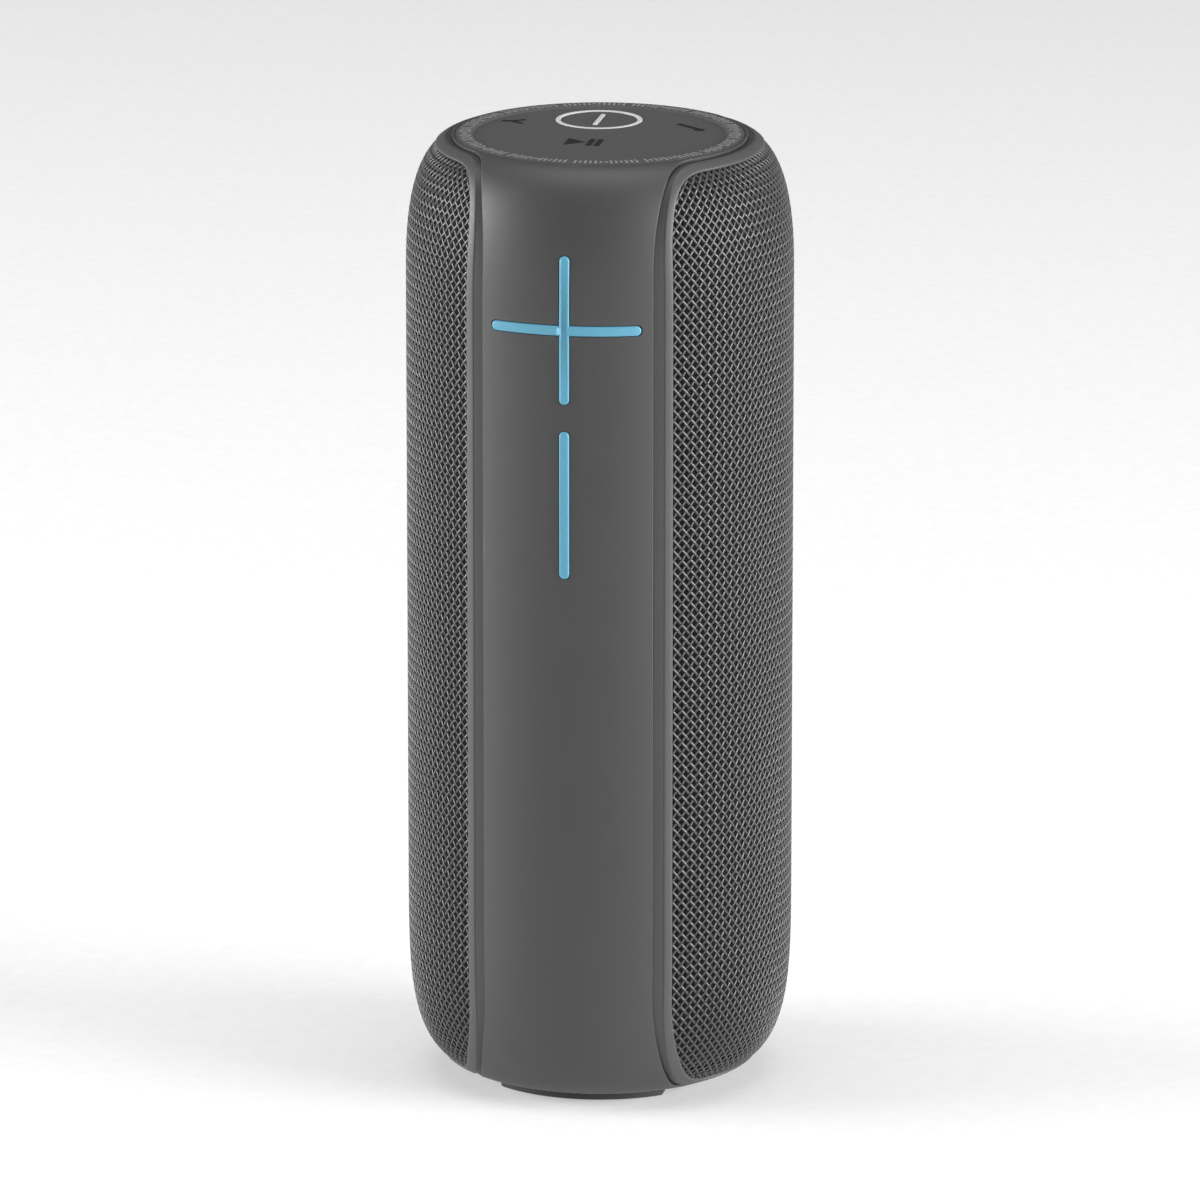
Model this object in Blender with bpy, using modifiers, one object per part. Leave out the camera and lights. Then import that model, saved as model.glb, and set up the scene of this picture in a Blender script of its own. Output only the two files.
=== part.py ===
"""A portable wireless loudspeaker: an upright round-cornered cylinder.

A front and a rear shell, each with a spine, half a top hoop and half a base, clamp round a sealed inner
cabinet. A woven grille in its own frame fills the window on each side. The keys on the top deck and the
two volume keys in the front spine press in, the socket cover at the back swings down, and the cones of
the drivers and of the passive radiators move in and out.

Lengths are in millimetres until they reach a mesh. The front faces -Y and +Z is up.
"""

import math

import bmesh
import bpy
from mathutils import Vector

MM = 0.001

# The body: a round cylinder whose upper and lower corners are superellipses.
RADIUS = 36.5
BODY_HEIGHT = 179.355
FOOT_HEIGHT = 1.1
TOP_CORNER = dict(radial=11.745, vertical=27.10, power=2.63)
BASE_CORNER = dict(radial=20.54, vertical=39.11, power=3.96)
STRAIGHT = BODY_HEIGHT - TOP_CORNER["vertical"] - BASE_CORNER["vertical"]
WALL = 2.4
GAP = 0.3

# The outlines round each side window, from the spine's edge to the edge of the mesh: the angle of the
# upright edge from the spine's centre line, then for the top and the base how far along the corner's
# curve the outline reaches, and its own corner's angle, length and power.
SPINE_EDGE = dict(edge=26.0, top=(30.1, 22.6, 24.0, 2.3), base=(41.6, 23.6, 26.0, 2.1))
BEAD_EDGE = dict(edge=29.3, top=(29.0, 21.5, 22.0, 2.7), base=(40.3, 22.0, 23.0, 2.4))
MESH_EDGE = dict(edge=32.2, top=(26.5, 20.0, 18.9, 3.0), base=(38.6, 22.0, 22.0, 2.2))
GROOVE_DEPTH = 0.45
MESH_DEPTH = 0.1
MESH_THICKNESS = 0.7
LEDGE_DEPTH = MESH_DEPTH + MESH_THICKNESS + GAP
LEDGE_WIDTH = 2.0
FRAME_GAP = 0.45
CLOTH_DEPTH = WALL + 1.5 * GAP
CLOTH_THICKNESS = 0.4

# The top deck and what lies under it.
DECK_RADIUS = 26.75
HOOP_RADIUS = 27.0
SEAT_RADIUS = 23.7
SEAT_TOP = BODY_HEIGHT - 2.35
SEAT_BASE = BODY_HEIGHT - 4.35
DECK_RECESS = 0.5
RECESS_RADIUS = 23.7
RIM_RADIUS = 24.3
DECK_UNDERSIDE = BODY_HEIGHT - 2.05
DECK_TOP = BODY_HEIGHT - DECK_RECESS
KEY_PROUD = 0.2
FLANGE_TOP = DECK_UNDERSIDE - 0.4
FLANGE_THICKNESS = 0.8
STEM_BASE = 173.6
SWITCH_TOP = 173.1
BOARD_TOP = 171.3
BOARD_THICKNESS = 1.2
BOARD_RADIUS = 22.3
KEY_CLEARANCE = 0.2
BOARD_SCREW_CIRCLE = 18.5
STEM_WIDTH = 2.4
SWITCH_WIDTH = 5.2
UNEVEN = 0.01  # keeps the ends of shapes that are joined from lying in one plane

# Places of the top keys' centres on the deck, to the right and to the back.
POWER_PLACE = (-2.6, 13.2)
PLAY_PLACE = (-1.75, -6.6)
PAIRING_PLACE = (-17.75, 8.9)
CALL_PLACE = (15.6, 9.9)
RING_OUTER = 8.15
RING_INNER = 7.2
RING_FLANGE = 8.7
KEY_REACH = 17.45  # the farthest out that a key's stem stands

# The volume keys in the front spine.
PLUS_CENTRE = 150.0
PLUS_HALF_HEIGHT = 13.95
PLUS_HALF_WIDTH = 14.25
MINUS_CENTRE = 117.0
MINUS_HALF_HEIGHT = 14.0
STROKE = 1.85
VOLUME_PROUD = 0.4
SLOT_CLEARANCE = 0.3
VOLUME_FLANGE_Y = (-33.4, -32.5)
VOLUME_SWITCH_Y = -31.5
VOLUME_BOARD_Y = (-29.9, -28.9)

# The inner cabinet, whose walls hold the drivers and the passive radiators.
CABINET_RADIUS = 32.0
CABINET_SIDE = 21.5
CABINET_FRONT = -28.5
CABINET_BACK = 26.0
CABINET_BASE = 13.9
CABINET_TOP = 166.5
CABINET_WALL = 2.0
CABINET_SPLIT = 0.55
DRIVER_HEIGHT = 58.0
DRIVER_HOLE = 20.6
DRIVER_FLANGE = 23.3
RADIATOR_HEIGHT = 120.0
RADIATOR_HALF = (17.0, 26.0)
RADIATOR_ROUND = 9.0
RADIATOR_EDGE = 4.2

# The socket bay low on the rear spine.
BAY_CENTRE = 36.0
BAY_HALF_WIDTH = 6.6
BAY_HALF_HEIGHT = 17.5
BAY_FLOOR = 29.0
BAY_MOUTH = 32.1
COVER_THICKNESS = 1.6
COVER_TAB = 0.4


# ---------------------------------------------------------------- the body's surface

def power_corner(radial, vertical, power, angle):
    """A point on a superellipse corner, from its side (0) to its flat (90 degrees)."""
    return (radial * math.cos(angle) ** (2 / power), vertical * math.sin(angle) ** (2 / power))


def corner_curve(corner, steps):
    """Points (inset from the side, height) of a corner, evenly spaced in angle."""
    points = []
    for i in range(steps + 1):
        out, up = power_corner(corner["radial"], corner["vertical"], corner["power"],
                               max(0.0, i / steps * math.pi / 2))
        points.append((corner["radial"] - out, up))
    return points


def with_lengths(points):
    """The running length at each point of a curve."""
    lengths = [0.0]
    for a, b in zip(points, points[1:]):
        lengths.append(lengths[-1] + math.hypot(b[0] - a[0], b[1] - a[1]))
    return lengths


FINE = 2000
TOP_POINTS = corner_curve(TOP_CORNER, FINE)
TOP_LENGTHS = with_lengths(TOP_POINTS)
BASE_POINTS = corner_curve(BASE_CORNER, FINE)
BASE_LENGTHS = with_lengths(BASE_POINTS)


def along(points, lengths, distance):
    """The point on a curve at a distance along it, and the unit direction there."""
    distance = min(max(distance, 0.0), lengths[-1])
    low, high = 0, len(lengths) - 1
    while high - low > 1:
        middle = (low + high) // 2
        if lengths[middle] <= distance:
            low = middle
        else:
            high = middle
    a, b = points[low], points[high]
    step = max(lengths[high] - lengths[low], 1e-9)
    share = (distance - lengths[low]) / step
    place = (a[0] + (b[0] - a[0]) * share, a[1] + (b[1] - a[1]) * share)
    return place, ((b[0] - a[0]) / step, (b[1] - a[1]) / step)


def skin(rise):
    """Radius, height and outward normal where the skin lies a distance up from the base corner."""
    if rise > STRAIGHT:
        (inset, up), (din, dup) = along(TOP_POINTS, TOP_LENGTHS, rise - STRAIGHT)
        return RADIUS - inset, BODY_HEIGHT - TOP_CORNER["vertical"] + up, dup, din
    if rise < 0:
        (inset, down), (din, ddown) = along(BASE_POINTS, BASE_LENGTHS, -rise)
        return RADIUS - inset, BASE_CORNER["vertical"] - down, ddown, -din
    return RADIUS, BASE_CORNER["vertical"] + rise, 1.0, 0.0


def on_body(degrees, rise, depth):
    """A point under the skin, at an angle from the front centre line towards +X."""
    radius, height, out, up = skin(rise)
    radius -= depth * out
    angle = math.radians(degrees)
    return Vector((radius * math.sin(angle), -radius * math.cos(angle),
                   height - depth * up + FOOT_HEIGHT)) * MM


def rise_of(height):
    """How far up from the base corner a height on the straight wall or on a corner lies."""
    if height > BODY_HEIGHT - TOP_CORNER["vertical"]:
        up = height - (BODY_HEIGHT - TOP_CORNER["vertical"])
        at = next(i for i, p in enumerate(TOP_POINTS) if p[1] >= up)
        return STRAIGHT + TOP_LENGTHS[at]
    if height < BASE_CORNER["vertical"]:
        down = BASE_CORNER["vertical"] - height
        at = next(i for i, p in enumerate(BASE_POINTS) if p[1] >= down)
        return -BASE_LENGTHS[at]
    return height - BASE_CORNER["vertical"]


def degrees_of(arc):
    """The angle that a length round the side takes."""
    return math.degrees(arc / RADIUS)


# ---------------------------------------------------------------- scene and helpers

def clear_scene():
    for ob in list(bpy.data.objects):
        bpy.data.objects.remove(ob, do_unlink=True)


def collection(name):
    made = bpy.data.collections.new(name)
    bpy.context.scene.collection.children.link(made)
    return made


clear_scene()
PARTS = collection("portable_speaker")
CUTTERS = collection("cutters")

FINISHES = {
    "soft_grey": ((0.115, 0.115, 0.117), 0.55, 0.0),
    "frame_grey": ((0.16, 0.16, 0.162), 0.5, 0.0),
    "wire_grey": ((0.2, 0.2, 0.2), 0.45, 0.6),
    "cloth_black": ((0.012, 0.012, 0.012), 0.95, 0.0),
    "mark_blue": ((0.12, 0.41, 0.61), 0.5, 0.0),
    "light_white": ((0.82, 0.82, 0.82), 0.35, 0.0),
    "icon_dark": ((0.045, 0.045, 0.046), 0.6, 0.0),
    "rubber_black": ((0.03, 0.03, 0.03), 0.8, 0.0),
    "inner_black": ((0.02, 0.02, 0.022), 0.6, 0.0),
    "board_green": ((0.015, 0.12, 0.05), 0.45, 0.0),
    "steel": ((0.55, 0.55, 0.56), 0.3, 1.0),
    "copper": ((0.72, 0.36, 0.2), 0.35, 1.0),
    "paper_black": ((0.03, 0.03, 0.033), 0.85, 0.0),
    "cell_wrap": ((0.1, 0.22, 0.45), 0.4, 0.0),
}


def finish(name):
    """The material of a finish, made once."""
    if name in bpy.data.materials:
        return bpy.data.materials[name]
    colour, roughness, metallic = FINISHES[name]
    material = bpy.data.materials.new(name)
    material.use_nodes = True
    shader = material.node_tree.nodes["Principled BSDF"]
    shader.inputs["Base Color"].default_value = (*colour, 1.0)
    shader.inputs["Roughness"].default_value = roughness
    shader.inputs["Metallic"].default_value = metallic
    return material


def add_object(name, bm, look=None):
    """An object from a bmesh. Without a look it is a cutter, which the model itself doesn't show."""
    mesh = bpy.data.meshes.new(name)
    bmesh.ops.recalc_face_normals(bm, faces=bm.faces[:])
    bm.to_mesh(mesh)
    bm.free()
    ob = bpy.data.objects.new(name, mesh)
    if look:
        mesh.materials.append(finish(look))
        PARTS.objects.link(ob)
    else:
        CUTTERS.objects.link(ob)
        ob.hide_render = True
        ob.display_type = "WIRE"
    return ob


def boolean(ob, other, operation):
    """A live Boolean. The other object becomes a cutter."""
    if other.name in PARTS.objects:
        PARTS.objects.unlink(other)
        CUTTERS.objects.link(other)
        other.hide_render = True
        other.display_type = "WIRE"
    modifier = ob.modifiers.new(operation.lower(), "BOOLEAN")
    modifier.operation = operation
    modifier.object = other


def cut(ob, *others):
    for other in others:
        boolean(ob, other, "DIFFERENCE")
    return ob


def fuse(ob, *others):
    for other in others:
        boolean(ob, other, "UNION")
    return ob


def keep_inside(ob, other):
    boolean(ob, other, "INTERSECT")
    return ob


def raised(height):
    """A height on the body, measured from the floor."""
    return height + FOOT_HEIGHT


def box(name, low, high, look=None, bevel=0.0):
    """A box between two corners, whose heights are measured on the body."""
    bm = bmesh.new()
    bmesh.ops.create_cube(bm, size=1.0)
    low = Vector((low[0], low[1], raised(low[2])))
    high = Vector((high[0], high[1], raised(high[2])))
    bmesh.ops.scale(bm, vec=high - low, verts=bm.verts[:])
    bmesh.ops.translate(bm, vec=(low + high) / 2, verts=bm.verts[:])
    bmesh.ops.scale(bm, vec=(MM, MM, MM), verts=bm.verts[:])
    ob = add_object(name, bm, look)
    if bevel:
        rounding = ob.modifiers.new("edges", "BEVEL")
        rounding.width = bevel * MM
        rounding.segments = 2
    return ob


def prism(name, outline, base, top, look=None):
    """An upright prism over a flat outline."""
    bm = bmesh.new()
    face = bm.faces.new([bm.verts.new((x * MM, y * MM, raised(base) * MM)) for x, y in outline])
    grown = bmesh.ops.extrude_face_region(bm, geom=[face], use_keep_orig=True)
    moved = [v for v in grown["geom"] if isinstance(v, bmesh.types.BMVert)]
    bmesh.ops.translate(bm, vec=(0, 0, (top - base) * MM), verts=moved)
    return add_object(name, bm, look)


def side_plate(name, low, high, half_wide, half_high, height, round_off, look=None):
    """A plate across the body's side, from x low to x high, with rounded corners seen from the side."""
    bm = bmesh.new()
    ring = []
    for turn in range(4):
        for step in range(4):
            angle = math.radians(90 * turn + 30 * step)
            y = math.copysign(half_wide - round_off, math.cos(math.radians(90 * turn + 45)))
            z = math.copysign(half_high - round_off, math.sin(math.radians(90 * turn + 45)))
            ring.append((y + round_off * math.cos(angle), z + round_off * math.sin(angle)))
    face = bm.faces.new([bm.verts.new((low * MM, y * MM, raised(height + z) * MM)) for y, z in ring])
    grown = bmesh.ops.extrude_face_region(bm, geom=[face], use_keep_orig=True)
    moved = [v for v in grown["geom"] if isinstance(v, bmesh.types.BMVert)]
    bmesh.ops.translate(bm, vec=((high - low) * MM, 0, 0), verts=moved)
    return add_object(name, bm, look)


def turned(name, profile, steps, look=None, place=(0, 0, 0), tilt=(0, 0, 0)):
    """A turned solid from a closed profile (radius, height), outer side first and downwards."""
    bm = bmesh.new()
    points = [bm.verts.new((radius * MM, 0, height * MM)) for radius, height in profile]
    for a, b in zip(points, points[1:]):
        bm.edges.new((a, b))
    if profile[0][0] > 0 or profile[-1][0] > 0:
        bm.edges.new((points[-1], points[0]))
    mesh = bpy.data.meshes.new(name)
    bm.to_mesh(mesh)
    bm.free()
    ob = bpy.data.objects.new(name, mesh)
    screw = ob.modifiers.new("turn", "SCREW")
    screw.steps = screw.render_steps = steps
    screw.use_merge_vertices = True
    screw.merge_threshold = 0.00001
    screw.use_smooth_shade = False
    ob.location = Vector(place) * MM
    ob.rotation_euler = [math.radians(a) for a in tilt]
    if look:
        mesh.materials.append(finish(look))
        PARTS.objects.link(ob)
    else:
        CUTTERS.objects.link(ob)
        ob.hide_render = True
        ob.display_type = "WIRE"
    return ob


def turned_up(name, profile, steps, look=None, centre=(0, 0)):
    """A turned solid about an upright axis, with its heights measured on the body."""
    return turned(name, profile, steps, look, place=(centre[0], centre[1], FOOT_HEIGHT))


def turned_side(name, profile, steps, side, height, look=None):
    """A turned solid about an axis across the body, whose profile's heights run out to a side."""
    return turned(name, profile, steps, look, place=(0, 0, raised(height)), tilt=(0, 90 * side, 0))


def flat_grid(columns, rows, place):
    """A grid whose point in column i and row j lies where place(i, j) says."""
    bm = bmesh.new()
    bmesh.ops.create_grid(bm, x_segments=columns, y_segments=rows, size=1.0)
    for v in bm.verts:
        i = round((v.co.x + 1) / 2 * columns)
        j = round((v.co.y + 1) / 2 * rows)
        v.co = Vector((*place(i, j), 0.0))
    return bm


def wrapped(name, bm, outer, inner, centre=0.0, look=None):
    """A flat sheet, angle across and rise up, made solid between two depths and laid on the body."""
    grown = bmesh.ops.extrude_face_region(bm, geom=bm.faces[:], use_keep_orig=True)
    inside = {v for v in grown["geom"] if isinstance(v, bmesh.types.BMVert)}
    for v in bm.verts:
        v.co = on_body(v.co.x + centre, v.co.y, inner if v in inside else outer)
    return add_object(name, bm, look)


CORNER_ROWS = 6
COLUMNS = 10


def window_rows(outline, inset):
    """Rise and half angle of each row of a window's sheet, from its base to its top."""
    edge = 90.0 - outline["edge"] - degrees_of(inset)

    def corner(reach, turn, length, power, sign):
        turn -= degrees_of(inset)
        length -= inset
        start = reach - inset - length
        rows = []
        for k in range(CORNER_ROWS + 1):
            wide, up = power_corner(turn, length, power, k / CORNER_ROWS * math.pi / 2)
            rows.append((sign * (start + up), edge - turn + wide))
        return rows

    top = [(STRAIGHT + rise, half) for rise, half in corner(*outline["top"], 1)]
    base = corner(*outline["base"], -1)
    return base[::-1] + [(0.0, edge), (STRAIGHT, edge)] + top


def window_piece(name, side, outline, outer, inner, inset=0.0, look=None):
    """The part of the skin inside a window's outline, between two depths."""
    rows = window_rows(outline, inset)

    def place(i, j):
        return (2 * i / COLUMNS - 1) * rows[j][1], rows[j][0]

    bm = flat_grid(COLUMNS, len(rows) - 1, place)
    return wrapped(name, bm, outer, inner, 90.0 * side, look)


SIDES = {"right": 1, "left": -1}


# ---------------------------------------------------------------- shells and grilles

def shell_profile():
    """The wall's section, down its outer side and back up its inner side."""
    hoop_top = STRAIGHT + next(length for p, length in zip(TOP_POINTS, TOP_LENGTHS)
                               if RADIUS - p[0] <= HOOP_RADIUS)
    upper = [STRAIGHT + TOP_LENGTHS[-1] * share for share in (0.86, 0.76, 0.64, 0.48, 0.28, 0.0)]
    lower = [-BASE_LENGTHS[-1] * share for share in (0.0, 0.22, 0.4, 0.53, 0.62, 0.69, 0.76, 0.86, 1.0)]
    outer = [skin(rise)[:2] for rise in [hoop_top] + upper + lower]
    inner = []
    inner_lower = [-BASE_LENGTHS[-1] * share for share in (1.0, 0.86, 0.76, 0.62, 0.4, 0.0)]
    for rise in inner_lower + upper[:1:-1]:
        radius, height, out, up = skin(rise)
        inner.append((radius - WALL * out, height - WALL * up))
    cap_hole = 13.8
    return (outer + [(cap_hole, 0.0), (cap_hole, WALL)] + inner
            + [(SEAT_RADIUS + 3.4, SEAT_BASE), (SEAT_RADIUS, SEAT_BASE), (SEAT_RADIUS, SEAT_TOP),
               (HOOP_RADIUS, SEAT_TOP)])


def spine_screw_places():
    return [(x, y) for y in (-19.5, 19.5) for x in (-8.0, 8.0)]


def shell(name, front):
    """One half of the shell: a spine with half the hoop and half the base."""
    ob = turned_up(name, shell_profile(), 40, "soft_grey")
    y = (-40.0, -GAP / 2) if front else (GAP / 2, 40.0)
    keep_inside(ob, box(name + "_half", (-40, y[0], -5), (40, y[1], 190)))
    for side_name, side in SIDES.items():
        cut(ob, window_piece(f"{name}_window_{side_name}", side, SPINE_EDGE, -1.0, WALL + 1.0))
    clearance = [(0, 5.0), (1.2, 5.0), (1.2, 1.5), (2.2, 1.5), (2.2, -2.0), (0, -2.0)]
    for x, y in spine_screw_places():
        if (y < 0) == front:
            cut(ob, turned_up(f"{name}_screw_hole", clearance, 12, centre=(x, y)))
    return ob


def grille_frame(name, side):
    """A frame round a window: a bead, a low skirt outside it and a ledge behind the mesh."""
    skirt = window_piece(name, side, SPINE_EDGE, GROOVE_DEPTH, WALL, FRAME_GAP, "frame_grey")
    bead = window_piece(name + "_bead", side, BEAD_EDGE, 0.0, WALL - 0.15)
    pocket = window_piece(name + "_pocket", side, MESH_EDGE, -2.0, LEDGE_DEPTH)
    opening = window_piece(name + "_opening", side, MESH_EDGE, -3.0, 6.0, LEDGE_WIDTH)
    fuse(skirt, bead)
    return cut(skirt, pocket, opening)


def make_grilles():
    for side_name, side in SIDES.items():
        grille_frame(f"grille_frame_{side_name}", side)
        window_piece(f"grille_mesh_{side_name}", side, MESH_EDGE, MESH_DEPTH,
                     MESH_DEPTH + MESH_THICKNESS, GAP, "wire_grey")
        window_piece(f"grille_cloth_{side_name}", side, MESH_EDGE, CLOTH_DEPTH,
                     CLOTH_DEPTH + CLOTH_THICKNESS, 1.0, "cloth_black")


# ---------------------------------------------------------------- volume keys

def bar_rows(half, wide, clearance):
    """Distances along a round-ended bar, and the half width at each."""
    half += clearance
    wide += clearance
    rows = []
    for k in range(4):
        angle = math.radians(12 + k * 26)
        rows.append((half - wide + wide * math.cos(angle), wide * math.sin(angle)))
    middle = [half * share for share in (0.6, 0.2)]
    ends = rows + [(d, wide) for d in middle]
    return [(-d, w) for d, w in ends] + [(d, w) for d, w in ends[::-1]]


def upright_bar(name, centre, half, outer, inner, clearance=0.0, look=None):
    rows = bar_rows(half, STROKE / 2, clearance)
    low = rise_of(centre)

    def place(i, j):
        return degrees_of((2 * i - 1) * rows[j][1]), low + rows[j][0]

    return wrapped(name, flat_grid(1, len(rows) - 1, place), outer, inner, 0.0, look)


def level_bar(name, centre, half, outer, inner, clearance=0.0):
    rows = bar_rows(half, STROKE / 2, clearance)
    low = rise_of(centre)

    def place(i, j):
        return degrees_of(rows[i][0]), low + (2 * j - 1) * rows[i][1]

    return wrapped(name, flat_grid(len(rows) - 1, 1, place), outer, inner)


def volume_key(name, centre, half, crossed):
    """A raised bar or cross in its slot, with a flange behind the spine and a stem."""
    key = upright_bar(name, centre, half, -VOLUME_PROUD, 3.4, 0.0, "mark_blue")
    if crossed:
        fuse(key, level_bar(name + "_across", centre, PLUS_HALF_WIDTH, -VOLUME_PROUD + 0.02, 2.9))
    y0, y1 = VOLUME_FLANGE_Y
    fuse(key, box(name + "_flange", (-4.0, y0, centre - half + 2), (4.0, y1, centre + half - 2)))
    return fuse(key, box(name + "_stem", (-1.5, y1 - 0.2, centre - 1.5), (1.5, y1 + 0.55, centre + 1.5)))


def make_volume_keys(front):
    volume_key("volume_up_key", PLUS_CENTRE, PLUS_HALF_HEIGHT, True)
    volume_key("volume_down_key", MINUS_CENTRE, MINUS_HALF_HEIGHT, False)
    cut(front,
        upright_bar("plus_slot_up", PLUS_CENTRE, PLUS_HALF_HEIGHT, -3.0, 5.0, SLOT_CLEARANCE),
        level_bar("plus_slot_across", PLUS_CENTRE, PLUS_HALF_WIDTH, -3.1, 5.1, SLOT_CLEARANCE),
        upright_bar("minus_slot", MINUS_CENTRE, MINUS_HALF_HEIGHT, -3.0, 5.0, SLOT_CLEARANCE))
    y0, y1 = VOLUME_BOARD_Y
    board = box("volume_board", (-6, y0, 101), (6, y1, 160), "board_green")
    for name, z in (("up", PLUS_CENTRE), ("down", MINUS_CENTRE)):
        fuse(board, box(f"volume_{name}_switch", (-3, VOLUME_SWITCH_Y, z - 3), (3, y0 + 0.3, z + 3)))


# ---------------------------------------------------------------- top deck and its keys

def deck_profile():
    rim = [skin(STRAIGHT + TOP_LENGTHS[-1] * share)[:2] for share in (0.94, 0.97)]
    edge = next(i for i, p in enumerate(TOP_POINTS) if RADIUS - p[0] <= DECK_RADIUS)
    edge_height = BODY_HEIGHT - TOP_CORNER["vertical"] + TOP_POINTS[edge][1]
    inner = [p for p in rim[::-1] if RIM_RADIUS < p[0] < DECK_RADIUS]
    flat = RADIUS - TOP_CORNER["radial"]
    return ([(0, DECK_TOP), (RECESS_RADIUS, DECK_TOP), (RIM_RADIUS, BODY_HEIGHT), (flat, BODY_HEIGHT)]
            + inner
            + [(DECK_RADIUS, edge_height), (DECK_RADIUS, SEAT_TOP + GAP), (23.4, SEAT_TOP + GAP),
               (23.4, SEAT_BASE - 1.0), (22.4, SEAT_BASE - 1.0), (22.4, DECK_UNDERSIDE),
               (0, DECK_UNDERSIDE)])


def turned_about(outline, degrees, centre):
    """A flat outline turned by an angle and moved to its place on the deck."""
    c, s = math.cos(math.radians(degrees)), math.sin(math.radians(degrees))
    return [(centre[0] + x * c - y * s, centre[1] + x * s + y * c) for x, y in outline]


def bar_outline(length, width, grow):
    x, y = length / 2 + grow, width / 2 + grow
    return [(-x, -y), (x, -y), (x, y), (-x, y)]


def play_outlines(grow):
    """A triangle that points right, and two upright bars."""
    reach = grow * 2.0
    triangle = [(-3.3 - grow, -2.7 - reach), (0.0 + reach, 0.0), (-3.3 - grow, 2.7 + reach)]
    shapes = [turned_about(triangle, 0, PLAY_PLACE)]
    for x in (1.15, 2.7):
        centre = (PLAY_PLACE[0] + x, PLAY_PLACE[1])
        shapes.append(turned_about(bar_outline(5.4, 0.8, grow), 90, centre))
    return shapes


def pairing_outlines(grow):
    """A short level stroke that forks in two, like a branching link."""
    x, y = PAIRING_PLACE
    return [turned_about(bar_outline(2.0, 0.7, grow), 0, (x - 1.4, y)),
            turned_about(bar_outline(2.9, 0.7, grow), 36, (x + 0.5, y + 0.8)),
            turned_about(bar_outline(2.9, 0.7, grow), -36, (x + 0.5, y - 0.8))]


def call_outlines(grow):
    """A slanting bar with a foot at its lower end, like a handset."""
    x, y = CALL_PLACE
    slant = turned_about(bar_outline(6.2, 0.9, grow), -42, (x - 0.6, y))
    foot = turned_about(bar_outline(1.6, 1.3, grow), -8, (x + 1.8, y - 2.3))
    return [slant, foot]


def stem_place(place):
    """Where a key's stem stands: under its symbol, or nearer the middle where the deck's skirt is close."""
    share = min(1.0, KEY_REACH / math.hypot(*place))
    return place[0] * share, place[1] * share


TOP_KEYS = {
    "play_pause_key": (play_outlines, stem_place(PLAY_PLACE), 5.2),
    "pairing_key": (pairing_outlines, stem_place(PAIRING_PLACE), 4.6),
    "call_key": (call_outlines, stem_place(CALL_PLACE), 4.6),
}


def icon_key(name, outlines, place, flange):
    """Raised symbols on a flange, with a stem over the switch."""
    flange_base = FLANGE_TOP - FLANGE_THICKNESS
    x, y = place
    disc = [(0, FLANGE_TOP), (flange, FLANGE_TOP), (flange, flange_base), (0, flange_base)]
    key = turned_up(name, disc, 16, "icon_dark", place)
    solids = []
    for n, outline in enumerate(outlines(0.0)):
        step = UNEVEN * n
        solids.append(prism(f"{name}_symbol_{n}", outline, FLANGE_TOP - 0.3 - step,
                            DECK_TOP + KEY_PROUD - step))
    fuse(key, *solids)
    half = STEM_WIDTH / 2
    stem = box(name + "_stem", (x - half, y - half, STEM_BASE), (x + half, y + half, flange_base + 0.2))
    return fuse(key, stem)


def make_deck():
    deck = turned_up("top_deck", deck_profile(), 32, "soft_grey")
    ring_hole = RING_OUTER + GAP
    cut(deck, turned_up("ring_hole", [(0, 185), (ring_hole, 185), (ring_hole, 175), (0, 175)], 32,
                        centre=POWER_PLACE))
    for name, (outlines, place, flange) in TOP_KEYS.items():
        for n, outline in enumerate(outlines(KEY_CLEARANCE)):
            cut(deck, prism(f"{name}_hole_{n}", outline, 175 - UNEVEN * n, 185 + UNEVEN * n))
        icon_key(name, outlines, place, flange)
    make_power_key()
    low = BOARD_TOP - BOARD_THICKNESS
    disc = [(0, BOARD_TOP), (BOARD_RADIUS, BOARD_TOP), (BOARD_RADIUS, low), (0, low)]
    board = turned_up("button_board", disc, 32, "board_green")
    half = SWITCH_WIDTH / 2
    for n, (x, y) in enumerate([POWER_PLACE] + [place for outlines, place, flange in TOP_KEYS.values()]):
        fuse(board, box(f"key_switch_{n}", (x - half, y - half, BOARD_TOP - 0.4),
                        (x + half, y + half, SWITCH_TOP)))


def make_power_key():
    """A round key inside a light ring, with a bar across its face."""
    flange_base = 175.0
    ring_foot = 176.3
    turned_up("power_light_ring", [
        (RING_INNER, DECK_TOP + 0.1), (RING_OUTER, DECK_TOP + 0.1), (RING_OUTER, 177.0), (RING_FLANGE, 177.0),
        (RING_FLANGE, ring_foot), (RING_INNER, ring_foot)], 32, "light_white", POWER_PLACE)
    cap = RING_INNER - GAP
    key = turned_up("power_key", [
        (0, DECK_TOP), (cap, DECK_TOP), (cap, 175.8), (8.6, 175.8), (8.6, flange_base),
        (1.4, flange_base), (1.4, STEM_BASE), (0, STEM_BASE)], 32, "soft_grey", POWER_PLACE)
    bar = turned_about(bar_outline(9.3, 1.0, 0.0), 90, POWER_PLACE)
    fuse(key, prism("power_key_bar", bar, DECK_TOP - 0.6, DECK_TOP + 0.12))


# ---------------------------------------------------------------- chassis, base and feet

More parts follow.
